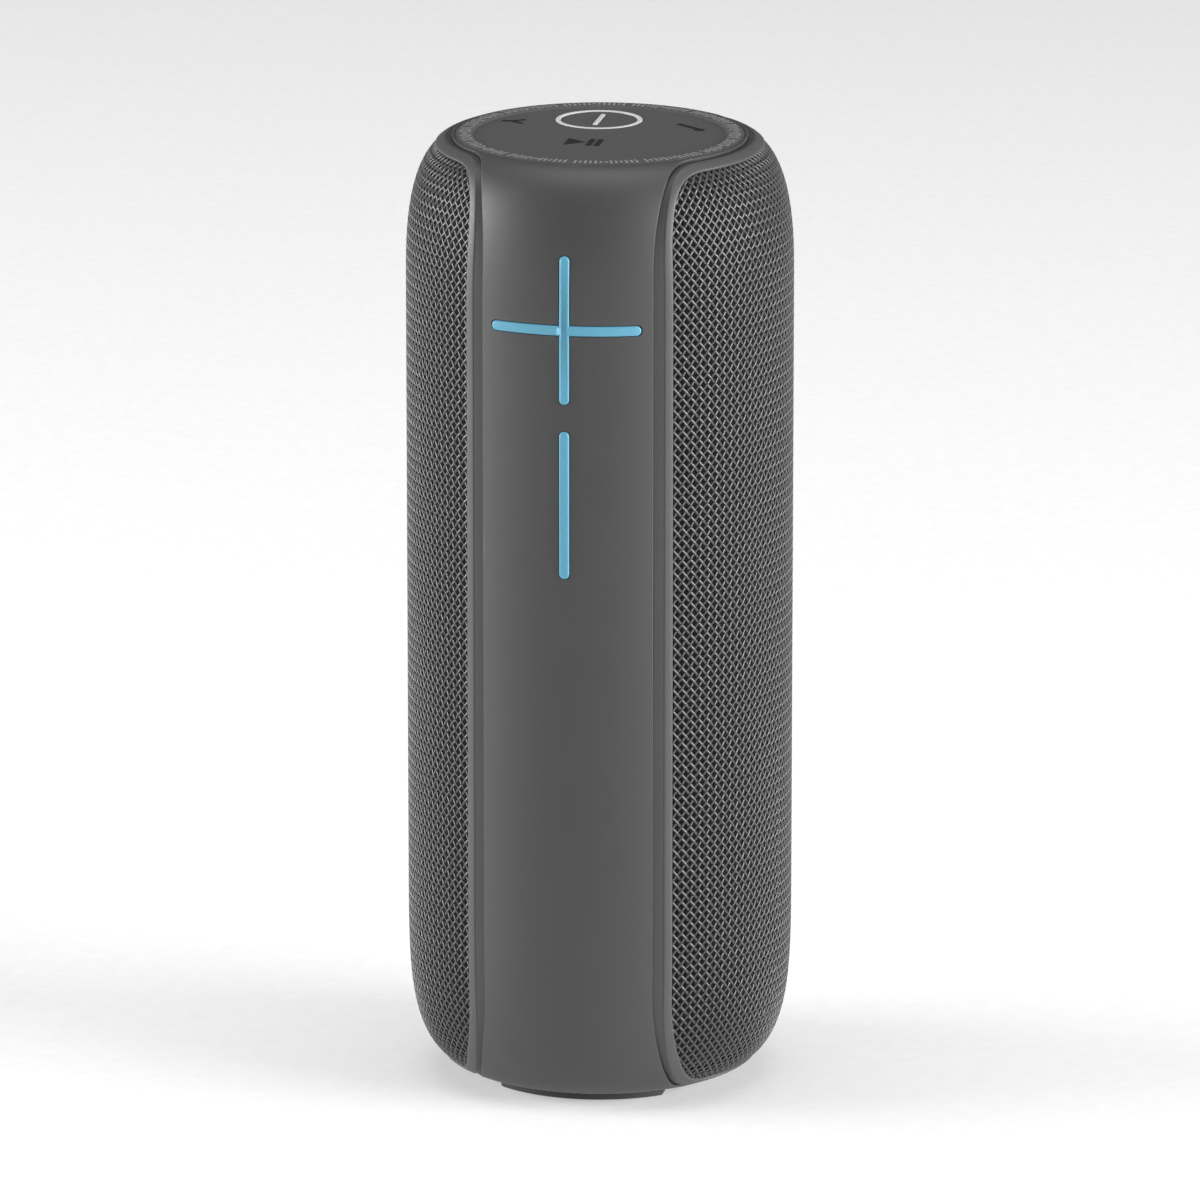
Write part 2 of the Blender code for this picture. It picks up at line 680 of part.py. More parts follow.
def make_chassis():
    """A tray over the cabinet that carries the button board, and a dish under it."""
    turned_up("top_chassis", [
        (22.0, 169.8), (22.0, 168.6), (30.0, 168.6), (30.0, 166.9), (6.0, 166.9), (6.0, 168.6),
        (19.5, 168.6), (19.5, 169.8)], 24, "inner_black")
    dish = turned_up("base_chassis", [
        (25.0, CABINET_BASE - GAP), (25.0, 4.9), (24.0, 3.0), (5.0, 3.0), (5.0, 4.9), (22.5, 4.9),
        (22.5, CABINET_BASE - GAP)], 24, "inner_black")
    for x, y in spine_screw_places():
        cut(dish, turned_up("dish_screw_hole", [(0, 9), (1.2, 9), (1.2, 1), (0, 1)], 12, centre=(x, y)))
    turned_up("base_cap", [(0, 2.7), (4.7, 2.7), (4.7, 2.1), (13.5, 2.1), (13.5, 0.0), (0, 0.0)],
              32, "soft_grey")


def foot(name, sign):
    """A rubber pad under one spine: a slice of a ring with round corners."""
    top = -0.25
    pad = turned_up(name, [(24.5, top), (24.5, -0.6), (23.9, -FOOT_HEIGHT), (14.2, -FOOT_HEIGHT),
                           (13.9, top)], 48, "rubber_black")
    y = sorted((sign * 12.0, sign * 26.0))
    keep_inside(pad, box(name + "_slice", (-15.5, y[0], -3), (15.5, y[1], 2), bevel=1.2))


def make_screws():
    """Screws up through the base into the dish, and screws that hold the button board."""
    screw = [(0, 4.4), (0.9, 4.4), (0.9, 1.2), (1.9, 1.2), (1.9, 0.4), (0, 0.4)]
    for n, place in enumerate(spine_screw_places()):
        turned_up(f"shell_screw_{n + 1}", screw, 10, "steel", place)
    low = BOARD_TOP + GAP
    head = [(0, low + 0.8), (1.5, low + 0.8), (1.5, low), (0, low)]
    for n, degrees in enumerate((-25, -128, 120)):
        angle = math.radians(degrees)
        centre = (BOARD_SCREW_CIRCLE * math.cos(angle), BOARD_SCREW_CIRCLE * math.sin(angle))
        turned_up(f"board_screw_{n + 1}", head, 10, "steel", centre)


# ---------------------------------------------------------------- cabinet and drivers

def make_cabinet():
    """The cabinet's halves: a rounded box, hollow, split across the speaker's middle."""
    def drum(name, inset, look=None):
        radius, top, base = CABINET_RADIUS - inset, CABINET_TOP - inset, CABINET_BASE + inset
        return turned_up(name, [(0, top), (radius, top), (radius, base), (0, base)], 32, look)

    def sides(name, inset, y):
        side = CABINET_SIDE - inset
        return box(name, (-side, y[0], inset / 2), (side, y[1], 175 - inset / 2))

    wall = CABINET_WALL
    reach = 40.0
    through = [(0, reach), (DRIVER_HOLE, reach), (DRIVER_HOLE, -reach), (0, -reach)]
    wide, high = RADIATOR_HALF
    for name, front in (("cabinet_front", True), ("cabinet_rear", False)):
        half = drum(name, 0, "inner_black")
        y = (CABINET_FRONT, -CABINET_SPLIT) if front else (CABINET_SPLIT, CABINET_BACK)
        keep_inside(half, sides(name + "_outside", 0, y))
        hollow = drum(name + "_hollow", wall)
        y = (CABINET_FRONT + wall, 3.0) if front else (-3.0, CABINET_BACK - wall)
        keep_inside(hollow, sides(name + "_inside", wall, y))
        cut(half, hollow, turned_side(name + "_driver_holes", through, 32, 1, DRIVER_HEIGHT),
            side_plate(name + "_radiator_holes", -reach, reach, wide, high, RADIATOR_HEIGHT,
                       RADIATOR_ROUND))


def make_driver(side_name, side):
    """A full-range driver: basket, motor, coil, cone, dust cap and surround, with its axis across."""
    def part(name, profile, steps, look):
        turned_side(f"{name}_{side_name}", profile, steps, side, DRIVER_HEIGHT, look)

    flange = CABINET_SIDE + GAP
    part("driver_basket", [
        (DRIVER_FLANGE, flange + 1.3), (DRIVER_FLANGE, flange), (20.2, flange), (19.9, 20.2),
        (14.0, 13.4), (8.3, 13.4), (8.3, 14.1), (12.6, 14.1), (18.6, 20.8), (18.6, flange + 1.3)],
        20, "steel")
    part("driver_magnet", [
        (13.0, 13.1), (13.0, 5.6), (0, 5.6), (0, 12.9), (4.6, 12.9), (4.6, 7.4), (7.7, 7.4),
        (7.7, 13.1)], 16, "steel")
    part("voice_coil", [(6.6, 14.8), (6.6, 10.4), (5.9, 10.4), (5.9, 14.8)], 16, "copper")
    part("driver_cone", [
        (16.0, 21.3), (16.0, 20.7), (6.9, 15.1), (5.7, 15.7), (5.7, 16.1), (15.4, 21.3)], 20, "paper_black")
    part("driver_dust_cap", [
        (0, 19.7), (3.6, 19.1), (6.6, 17.3), (6.0, 16.9), (3.4, 18.5), (0, 19.1)], 16, "paper_black")
    part("driver_surround", [
        (18.25, 21.9), (18.25, 21.4), (17.8, 21.4), (17.3, 22.8), (16.8, 21.4), (16.3, 21.4),
        (16.3, 21.9), (16.7, 23.0), (17.3, 23.4), (17.9, 23.0)], 20, "rubber_black")


def radiator(side_name, side):
    """A passive radiator: a stiff plate that a rubber surround carries in its opening."""
    def plate(name, outward, inward, inset, look=None):
        wide, high = RADIATOR_HALF
        return side_plate(f"{name}_{side_name}", side * outward, side * inward, wide - inset,
                          high - inset, RADIATOR_HEIGHT, RADIATOR_ROUND - inset, look)

    plate("radiator_plate", CABINET_SIDE + 0.2, CABINET_SIDE - 1.6, RADIATOR_EDGE, "steel")
    surround = plate("radiator_surround", CABINET_SIDE - 0.1, CABINET_SIDE - 0.9, GAP, "rubber_black")
    cut(surround, plate("radiator_window", CABINET_SIDE + 4, CABINET_SIDE - 4, RADIATOR_EDGE - GAP))


# ---------------------------------------------------------------- power and electronics

def make_electronics():
    cell = [(0, 154.0), (8.4, 154.0), (9.1, 153.3), (9.1, 89.7), (8.4, 89.0), (0, 89.0)]
    bore = [(0, 110), (9.45, 110), (9.45, 88.6), (0, 88.6)]
    holder = box("battery_holder", (-10.5, -20.0, 86.0), (10.5, 20.0, 100.0), "inner_black")
    for name, y in (("front", -9.7), ("rear", 9.7)):
        turned_up(f"battery_cell_{name}", cell, 16, "cell_wrap", (0, y))
        cut(holder, turned_up(f"holder_bore_{name}", bore, 16, centre=(0, y)))
    y = CABINET_BACK + 0.4
    board = box("main_board", (-12, y, 62), (12, y + 1.2, 150), "board_green")
    y += 1.2
    chips = [((-6, 118), (4, 128), 1.3), ((-9, 100), (-3, 106), 1.9), ((2, 100), (8, 106), 2.7),
             ((-8, 84), (0, 90), 1.3), ((4, 70), (9, 76), 3.3), ((-9, 66), (-5, 72), 2.3)]
    for n, (low, high, tall) in enumerate(chips):
        fuse(board, box(f"board_chip_{n}", (low[0], y - 0.4, low[1]), (high[0], y + tall, high[1])))
    box("wireless_module", (-7, y + GAP, 134), (7, y + 2.5, 146), "steel")


def wire(points, radius, name, look):
    """A thin lead through a few points, made a mesh."""
    data = bpy.data.curves.new(name, "CURVE")
    data.dimensions = "3D"
    data.bevel_depth = radius * MM
    data.bevel_resolution = 1
    data.use_fill_caps = True
    spline = data.splines.new("POLY")
    spline.points.add(len(points) - 1)
    for point, place in zip(spline.points, points):
        point.co = (place[0] * MM, place[1] * MM, raised(place[2]) * MM, 1.0)
    ob = bpy.data.objects.new(name, data)
    data.materials.append(finish(look))
    PARTS.objects.link(ob)
    return ob


def make_leads():
    """The lead from the battery holder down to the drivers' terminals, inside the cabinet."""
    wire([(0, 0, 85.5), (0, 1.0, 82), (0, 3.5, 79), (0, 8, 77), (0, 14, 75), (0, 18.5, 71),
          (0, 20.5, 64), (0, 20.5, 50), (0, 18.5, 42), (0, 14, 37), (0, 8, 35)],
         0.7, "speaker_lead", "rubber_black")


# ---------------------------------------------------------------- socket bay

def bay_sheet(clearance):
    """A rounded rectangle on the rear spine, as a flat grid."""
    wide, high = BAY_HALF_WIDTH + clearance, BAY_HALF_HEIGHT + clearance
    round_off = 3.0 + clearance
    rows = []
    for k in range(5):
        across, up = power_corner(round_off, round_off, 2.0, k / 4 * math.pi / 2)
        rows.append((high - round_off + up, wide - round_off + across))
    rows = [(-up, across) for up, across in rows[::-1]] + rows
    middle = BAY_CENTRE

    def place(i, j):
        return degrees_of((i / 2 - 1) * rows[j][1]), rise_of(middle + rows[j][0])

    return flat_grid(4, len(rows) - 1, place)


def make_bay(rear):
    """The opening in the rear spine, its cover, and a tray with the sockets."""
    cut(rear, wrapped("bay_opening", bay_sheet(GAP), -3.0, 6.0, 180.0))
    cover = wrapped("port_cover", bay_sheet(0.0), 0.0, COVER_THICKNESS, 180.0, "rubber_black")
    tab_y = RADIUS + COVER_TAB
    fuse(cover, box("port_cover_tab", (-3.0, tab_y - 1.2, BAY_CENTRE + 12.6),
                    (3.0, tab_y, BAY_CENTRE + 14.4)))
    low, high = BAY_CENTRE - BAY_HALF_HEIGHT - 1.8, BAY_CENTRE + BAY_HALF_HEIGHT + 1.8
    wide = BAY_HALF_WIDTH + 1.8
    tray = box("port_bezel", (-wide, CABINET_BACK + 0.5, low), (wide, BAY_MOUTH, high), "inner_black")
    cut(tray, box("bay_hollow", (-wide + 1.2, BAY_FLOOR, low + 1.2), (wide - 1.2, 40, high - 1.2)))
    sockets = {"usb_socket": (BAY_CENTRE + 9.5, 4.6, 1.7), "card_socket": (BAY_CENTRE, 5.7, 0.9)}
    for name, (z, half_wide, half_high) in sockets.items():
        cut(tray, box(name + "_hole", (-half_wide - GAP, 20, z - half_high - GAP),
                      (half_wide + GAP, 40, z + half_high + GAP)))
        can = box(name, (-half_wide, CABINET_BACK + 0.5, z - half_high),
                  (half_wide, BAY_FLOOR + 0.2, z + half_high), "steel")
        wide, high = half_wide - 0.4, half_high - 0.35
        cut(can, box(name + "_mouth", (-wide, CABINET_BACK + 1.2, z - high), (wide, 40, z + high)))
    jack_z = BAY_CENTRE - 9.5
    tilt = (-90, 0, 0)
    cut(tray, turned("aux_hole", [(0, 40), (3.1, 40), (3.1, 20), (0, 20)], 20,
                     place=(0, 0, raised(jack_z)), tilt=tilt))
    turned("aux_socket", [(2.8, BAY_FLOOR + 0.2), (2.8, CABINET_BACK + 0.5), (0, CABINET_BACK + 0.5),
                          (0, CABINET_BACK + 1.2), (1.8, CABINET_BACK + 1.2), (1.8, BAY_FLOOR + 0.2)],
           20, "steel", place=(0, 0, raised(jack_z)), tilt=tilt)


def main():
    front = shell("front_shell", True)
    rear = shell("rear_shell", False)
    make_grilles()
    make_volume_keys(front)
    make_deck()
    make_chassis()
    foot("front_foot", -1)
    foot("rear_foot", 1)
    make_screws()
    make_cabinet()
    for side_name, side in SIDES.items():
        make_driver(side_name, side)
        radiator(side_name, side)
    make_electronics()
    make_leads()
    make_bay(rear)


main()
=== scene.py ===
"""The looks of an upright portable speaker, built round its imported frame.

Lengths are in millimetres above the bottom of the body until a point is placed, and the feet lift the
body by FOOT_HEIGHT. The body is a surface of revolution. A place on it is an angle round it from the
front (-Y) towards the right (+X), a rise along its skin from the top of the base corner, and a depth
under the skin.
"""

import math

import bmesh
import bpy
import numpy as np
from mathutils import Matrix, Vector


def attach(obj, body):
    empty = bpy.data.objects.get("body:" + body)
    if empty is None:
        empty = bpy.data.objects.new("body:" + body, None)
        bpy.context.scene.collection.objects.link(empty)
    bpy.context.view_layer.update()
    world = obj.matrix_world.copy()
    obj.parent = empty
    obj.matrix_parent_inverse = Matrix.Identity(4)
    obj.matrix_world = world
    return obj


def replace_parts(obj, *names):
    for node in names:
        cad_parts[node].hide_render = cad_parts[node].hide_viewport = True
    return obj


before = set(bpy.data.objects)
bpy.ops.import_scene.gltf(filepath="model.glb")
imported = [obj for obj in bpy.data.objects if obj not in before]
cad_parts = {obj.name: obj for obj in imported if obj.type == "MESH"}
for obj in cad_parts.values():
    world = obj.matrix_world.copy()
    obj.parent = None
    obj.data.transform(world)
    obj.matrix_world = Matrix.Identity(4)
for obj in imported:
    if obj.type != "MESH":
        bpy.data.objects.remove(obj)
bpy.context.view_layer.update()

MM = 0.001

# ---------------------------------------------------------------- sizes, in mm

RADIUS = 36.5
BODY_HEIGHT = 179.355
FOOT_HEIGHT = 1.1
TOP_CORNER = dict(radial=11.745, vertical=27.10, power=2.63)
BASE_CORNER = dict(radial=20.54, vertical=39.11, power=3.96)
STRAIGHT = BODY_HEIGHT - TOP_CORNER["vertical"] - BASE_CORNER["vertical"]

# Outlines round each window: the angle of the upright edge from the spine, then for its top and base
# corner how far it reaches past the straight wall, the corner's angle and length, and its power.
SPINE_EDGE = dict(edge=26.0, top=(30.1, 22.6, 24.0, 2.3), base=(41.6, 23.6, 26.0, 2.1))
BEAD_EDGE = dict(edge=29.3, top=(29.0, 21.5, 22.0, 2.7), base=(40.3, 22.0, 23.0, 2.4))
MESH_EDGE = dict(edge=32.2, top=(26.5, 20.0, 18.9, 3.0), base=(38.6, 22.0, 22.0, 2.2))
WALL = 2.0
SIDES = {"right": 1, "left": -1}

HOOP_RADIUS = 27.0
DECK_RADIUS = 26.88
RECESS_RADIUS = 23.7
RIM_RADIUS = 24.3
DECK_TOP = BODY_HEIGHT - 0.5
BASE_HOLE = 13.9

POWER_PLACE = (-2.6, 13.2)
PLAY_PLACE = (-1.75, -6.6)
PAIRING_PLACE = (-17.75, 8.9)
CALL_PLACE = (15.6, 9.9)
RING_OUTER = 8.15
RING_INNER = 7.2
RING_GAP = 0.08

PLUS_CENTRE = 150.0
PLUS_HALF_HEIGHT = 13.95
PLUS_HALF_WIDTH = 14.25
MINUS_CENTRE = 117.0
MINUS_HALF_HEIGHT = 14.0
STROKE = 1.85
VOLUME_PROUD = 0.37
SLOT_GAP = 0.14

BAY_CENTRE = 36.0
BAY_HALF_WIDTH = 6.6
BAY_HALF_HEIGHT = 17.5
BAY_CORNER = 3.0
BAY_GAP = 0.16

# From above the skin to below it: what a slot's cutter goes through.
CUT_TOP = 2.0
CUT_BASE = -4.0

# The woven wire: columns of holes round the whole body, rows along the skin, and the wire's section.
WEAVE_COLUMNS = 128
WEAVE_ROW = 2.05
WIRE_WIDE = 0.28
WIRE_THICK = 0.17
WIRE_SWING = 0.08
WIRE_DEPTH = 0.54
WIRE_SIDES = 6
WIRE_CAP = np.array([[0, 1, 2, 3], [0, 3, 4, 5]])
WIRE_STEPS = 3
WIRE_TUCK = 0.75


# ---------------------------------------------------------------- the body's surface

def corner_table(corner):
    """Along a corner from the straight wall: length, distance out, distance up, and the normal's parts."""
    turn = np.linspace(0, math.pi / 2, 4000)
    out = corner["radial"] * np.cos(turn).clip(0) ** (2 / corner["power"])
    up = corner["vertical"] * np.sin(turn).clip(0) ** (2 / corner["power"])
    length = np.concatenate([[0], np.cumsum(np.hypot(np.diff(out), np.diff(up)))])
    along_out, along_up = np.gradient(out, length), np.gradient(up, length)
    size = np.hypot(along_out, along_up)
    return length, out, up, along_up / size, -along_out / size


TOP_TABLE = corner_table(TOP_CORNER)
BASE_TABLE = corner_table(BASE_CORNER)
TOP_RISE = STRAIGHT + TOP_TABLE[0][-1]
BASE_RISE = -BASE_TABLE[0][-1]


def skin(rise):
    """Radius, height, and the normal's outward and upward parts, at each rise. It runs flat past a corner."""
    rise = np.asarray(rise, float)
    radius = np.full(rise.shape, RADIUS)
    height = BASE_CORNER["vertical"] + rise
    outward, upward = np.ones(rise.shape), np.zeros(rise.shape)
    ends = ((TOP_TABLE, TOP_CORNER, rise - STRAIGHT, 1), (BASE_TABLE, BASE_CORNER, -rise, -1))
    for table, corner, past, sign in ends:
        here = past > 0
        length, out, up, normal_out, normal_up = table
        left = RADIUS - corner["radial"] + np.interp(past, length, out) - (past - length[-1]).clip(0)
        start = STRAIGHT + BASE_CORNER["vertical"] if sign > 0 else BASE_CORNER["vertical"]
        radius = np.where(here, left, radius)
        height = np.where(here, start + sign * np.interp(past, length, up), height)
        outward = np.where(here, np.interp(past, length, normal_out), outward)
        upward = np.where(here, sign * np.interp(past, length, normal_up), upward)
    return radius, height, outward, upward


def on_body(degrees, rise, depth):
    """Points in metres, from arrays of angle, rise and depth under the skin."""
    degrees, rise, depth = np.broadcast_arrays(degrees, rise, depth)
    radius, height, outward, upward = skin(rise)
    radius = radius - depth * outward
    turn = np.radians(degrees)
    return np.stack([radius * np.sin(turn), -radius * np.cos(turn),
                     height - depth * upward + FOOT_HEIGHT], -1) * MM


RISES = np.linspace(BASE_RISE, TOP_RISE, 6000)
SKIN = skin(RISES)


def rise_of(height):
    return float(np.interp(height, SKIN[1], RISES))


def rise_at_radius(radius):
    """The rise, in the top corner, where the body has this radius."""
    top = RISES > STRAIGHT
    return float(np.interp(-radius, -SKIN[0][top], RISES[top]))


def arc_degrees(arc, rise=0.0):
    """The angle that an arc along the skin spans."""
    return np.degrees(arc / skin(rise)[0])


# ---------------------------------------------------------------- meshes

SAME_POINT = 1e-6
AXIS_WELD = 1e-7


def mesh_object(name, points, quads):
    """An object from arrays of points in metres and of four-cornered faces."""
    mesh = bpy.data.meshes.new(name)
    mesh.vertices.add(len(points))
    mesh.vertices.foreach_set("co", np.ascontiguousarray(points, np.float32).ravel())
    mesh.loops.add(quads.size)
    mesh.loops.foreach_set("vertex_index", np.ascontiguousarray(quads, np.int32).ravel())
    mesh.polygons.add(len(quads))
    mesh.polygons.foreach_set("loop_start", np.arange(0, quads.size, 4, dtype=np.int32))
    mesh.update(calc_edges=True)
    mesh.validate()
    ob = bpy.data.objects.new(name, mesh)
    bpy.context.scene.collection.objects.link(ob)
    return ob


def bmesh_object(name, bm):
    """An object from a bmesh, with its faces turned to look out."""
    mesh = bpy.data.meshes.new(name)
    bmesh.ops.recalc_face_normals(bm, faces=bm.faces[:])
    bm.to_mesh(mesh)
    bm.free()
    ob = bpy.data.objects.new(name, mesh)
    bpy.context.scene.collection.objects.link(ob)
    return ob


def grid_quads(rows, columns, close_rows=False, close_columns=False, first=0):
    """The faces of a grid of points that are numbered row by row from first."""
    index = first + np.arange(rows * columns).reshape(rows, columns)
    if close_rows:
        index = np.vstack([index, index[:1]])
    if close_columns:
        index = np.hstack([index, index[:, :1]])
    corners = [index[:-1, :-1], index[:-1, 1:], index[1:, 1:], index[1:, :-1]]
    return np.stack(corners, -1).reshape(-1, 4)


def recalculated(ob, weld=0.0):
    """Faces turned to look out of a closed body, once points nearer to each other than weld are joined."""
    bm = bmesh.new()
    bm.from_mesh(ob.data)
    if weld:
        bmesh.ops.remove_doubles(bm, verts=bm.verts[:], dist=weld)
    bmesh.ops.recalc_face_normals(bm, faces=bm.faces[:])
    bm.to_mesh(ob.data)
    bm.free()
    return ob


def thickened(name, outer, inner, quads):
    """A closed body between two sheets that share their faces: points that meet on the outer sheet are
    joined, and the open rims are walled."""
    _, first, index = np.unique(np.round(outer / SAME_POINT).astype(np.int64), axis=0,
                                return_index=True, return_inverse=True)
    quads = index.reshape(-1)[quads]
    quads = quads[[len(set(q)) == 4 for q in quads.tolist()]]
    count = len(first)
    edges = np.concatenate([quads[:, [k, (k + 1) % 4]] for k in range(4)])
    _, which, times = np.unique(np.sort(edges, axis=1), axis=0, return_inverse=True, return_counts=True)
    rim = edges[times[which.reshape(-1)] == 1]
    walls = np.stack([rim[:, 1], rim[:, 0], rim[:, 0] + count, rim[:, 1] + count], -1)
    ob = mesh_object(name, np.concatenate([outer[first], inner[first]]),
                     np.concatenate([quads, quads[:, ::-1] + count, walls]))
    return recalculated(ob)


def smoothed(ob, degrees=38):
    """Smooth shading, but for the edges where faces turn by more than an angle."""
    ob.data.shade_smooth()
    ob.data.set_sharp_from_angle(angle=math.radians(degrees))
    return ob


def cut_out(ob, cutters):
    """The cutters taken out of a body, and then removed."""
    for cutter in cutters:
        modifier = ob.modifiers.new("cut", "BOOLEAN")
        modifier.operation = "DIFFERENCE"
        modifier.solver = "EXACT"
        modifier.object = cutter
    baked = bpy.data.meshes.new_from_object(ob.evaluated_get(bpy.context.evaluated_depsgraph_get()))
    ob.modifiers.clear()
    ob.data = baked
    for cutter in cutters:
        bpy.data.objects.remove(cutter)
    return ob


ON_SKIN = 0.02
SKIN_FACING = 0.97


def smooth_as_skin(ob):
    """Where a face lies on the body's skin, its corners take the skin's own normals."""
    mesh = smoothed(ob).data
    points = np.zeros(len(mesh.vertices) * 3)
    mesh.vertices.foreach_get("co", points)
    points = points.reshape(-1, 3) / MM
    radius, height = np.hypot(points[:, 0], points[:, 1]), points[:, 2] - FOOT_HEIGHT
    skin_radius, outward, upward = (np.interp(height, SKIN[1], part) for part in
                                    (SKIN[0], SKIN[2], SKIN[3]))
    flat = points[:, :2] / radius[:, None].clip(1e-6)
    normals = np.stack([flat[:, 0] * outward, flat[:, 1] * outward, upward], -1)
    near = (abs(radius - skin_radius) < ON_SKIN) & (height > 6) & (height < BODY_HEIGHT - 4)
    corner_of = np.zeros(len(mesh.loops), np.int32)
    mesh.loops.foreach_get("vertex_index", corner_of)
    faces = np.zeros(len(mesh.polygons) * 3)
    mesh.polygons.foreach_get("normal", faces)
    sizes = np.zeros(len(mesh.polygons), np.int32)
    mesh.polygons.foreach_get("loop_total", sizes)
    face_normal = np.repeat(faces.reshape(-1, 3), sizes, axis=0)
    skin_normal = normals[corner_of]
    facing = (face_normal * skin_normal).sum(1) > SKIN_FACING
    custom = np.where((near[corner_of] & facing)[:, None], skin_normal, 0.0)
    mesh.normals_split_custom_set(custom.tolist())
    return ob


FILLET_STEPS = 4
FILLET_SHARE = 0.49  # of each edge, at most


def filleted(points, closed=False):
    """A polyline whose corners that carry a third number are rounded to that radius."""
    line = []
    count = len(points)
    for n, (x, y, *radius) in enumerate(points):
        if not radius or (not closed and n in (0, count - 1)):
            line.append((x, y))
            continue
        here = Vector((x, y))
        before, after = (Vector(points[(n + step) % count][:2]) - here for step in (-1, 1))
        half = before.angle(after) / 2
        reach = min(radius[0] / math.tan(half), FILLET_SHARE * before.length, FILLET_SHARE * after.length)
        start, end = here + before.normalized() * reach, here + after.normalized() * reach
        for t in np.linspace(0, 1, FILLET_STEPS + 1).tolist():
            line.append(tuple(start * (1 - t) ** 2 + here * 2 * t * (1 - t) + end * t * t))
    return line


def lathe(name, profile, steps=96, centre=(0.0, 0.0)):
    """A body turned about an upright axis, from a section that starts and ends on it, or is closed."""
    line = np.array(filleted(profile))
    on_axis = line[0][0] == 0 and line[-1][0] == 0
    turn = np.linspace(0, 2 * math.pi, steps, endpoint=False)
    radius, height = line[:, None, 0], line[:, None, 1]
    points = np.stack([centre[0] + radius * np.cos(turn), centre[1] + radius * np.sin(turn),
                       np.broadcast_to(height + FOOT_HEIGHT, (len(line), steps))], -1)
    ob = mesh_object(name, points.reshape(-1, 3) * MM, grid_quads(len(line), steps, not on_axis, True))
    return smoothed(recalculated(ob, AXIS_WELD))


# ---------------------------------------------------------------- flat shapes raised on a surface

SLICE_WIDTH = 0.8
SLICE_START = 0.37  # of a slice
STADIUM_STEPS = 10
FILLET_ANGLES = (25, 50, 72, 90)


def inset_outline(outline, inset):
    """A closed anticlockwise outline moved inwards."""
    before, after = np.roll(outline, 1, 0), np.roll(outline, -1, 0)
    normals = []
    for edge in (outline - before, after - outline):
        edge = edge / np.linalg.norm(edge, axis=1)[:, None]
        normals.append(np.stack([-edge[:, 1], edge[:, 0]], -1))
    first, second = normals
    share = (1 + (first * second).sum(1)).clip(0.3)
    return outline + inset * (first + second) / share[:, None]


def relief(name, outlines, place, top, base, fillet, wraps=False):
    """Flat-topped shapes with rounded rims. place turns (across, up, level) into points in metres. A shape
    that wraps round a curve is first sliced across it."""
    bm = bmesh.new()
    for outline in outlines:
        outline = np.array(outline, float)
        levels = [(base, 0.0), (top - fillet, 0.0)]
        levels += [(top - fillet + fillet * math.sin(a), fillet * (1 - math.cos(a)))
                   for a in np.radians(FILLET_ANGLES)] if fillet else [(top, 0.0)]
        rings = [[bm.verts.new((x, y, level)) for x, y in inset_outline(outline, inset)]
                 for level, inset in levels]
        for low, high in zip(rings, rings[1:]):
            for k in range(len(low)):
                n = (k + 1) % len(low)
                bm.faces.new((low[k], low[n], high[n], high[k]))
        bm.faces.new(rings[0][::-1])
        bm.faces.new(rings[-1])
    if wraps:
        slices = int(max(abs(v.co.x) for v in bm.verts) / SLICE_WIDTH)
        for k in range(-slices, slices + 1):
            cut = ((k + SLICE_START) * SLICE_WIDTH, 0, 0)
            bmesh.ops.bisect_plane(bm, geom=bm.verts[:] + bm.edges[:] + bm.faces[:], plane_co=cut,
                                   plane_no=(1, 0, 0))
    flat = np.array([v.co for v in bm.verts])
    for vert, point in zip(bm.verts, place(flat[:, 0], flat[:, 1], flat[:, 2])):
        vert.co = point
    return smoothed(bmesh_object(name, bm), 32)


def spine_place(height, facing=0.0):
    """Placing on a spine: across is an arc along the skin and up runs along it."""
    low = rise_of(height)

    def place(across, up, level):
        rise = low + up
        return on_body(facing + arc_degrees(across, rise), rise, -level)

    return place


def deck_place(centre, degrees=0.0):
    """Placing on the deck's flat, about a centre and turned by an angle."""
    turn = math.radians(degrees)

    def place(x, y, level):
        return np.stack([centre[0] + x * math.cos(turn) - y * math.sin(turn),
                         centre[1] + x * math.sin(turn) + y * math.cos(turn),
                         DECK_TOP + level + FOOT_HEIGHT], -1) * MM

    return place


def stadium(half_long, half_wide):
    """A bar with round ends, along x."""
    turn = np.linspace(-math.pi / 2, math.pi / 2, STADIUM_STEPS)
    end = np.stack([half_long - half_wide + half_wide * np.cos(turn), half_wide * np.sin(turn)], -1)
    return np.concatenate([end, -end])


def cross_outline(half_wide, half_high, half_stroke):
    """A cross with round ends."""
    points = []
    for k, reach in enumerate((half_wide, half_high, half_wide, half_high)):
        arm = [(half_stroke, -half_stroke)] + stadium(reach, half_stroke)[:STADIUM_STEPS].tolist()
        c, s = round(math.cos(k * math.pi / 2)), round(math.sin(k * math.pi / 2))
        points += [(x * c - y * s, x * s + y * c) for x, y in arm]
    return np.array(points)


def rectangle(wide, high, rounding=0.0):
    """A rectangle about the origin, anticlockwise."""
    x, y = wide / 2, high / 2
    corners = [(-x, -y), (x, -y), (x, y), (-x, y)]
    if not rounding:
        return corners
    return filleted([(*corner, rounding) for corner in corners], closed=True)


def turned_outline(outline, degrees, centre=(0.0, 0.0)):
    """An outline turned about the origin and then moved to a centre."""
    c, s = math.cos(math.radians(degrees)), math.sin(math.radians(degrees))
    return [(centre[0] + x * c - y * s, centre[1] + x * s + y * c) for x, y in outline]


# ---------------------------------------------------------------- outlines round a window

EDGE_STATIONS = 16
CORNER_STATIONS = 30
SIDE_STATIONS = 72


def evenly(angles, rises, count):
    """A line of (angle, rise) resampled at even steps along the skin."""
    across = np.radians(np.diff(angles)) * skin((rises[1:] + rises[:-1]) / 2)[0]
    run = np.concatenate([[0], np.cumsum(np.hypot(across, np.diff(rises)))])
    want = np.linspace(0, run[-1], count + 1)
    return np.stack([np.interp(want, run, angles), np.interp(want, run, rises)], -1)


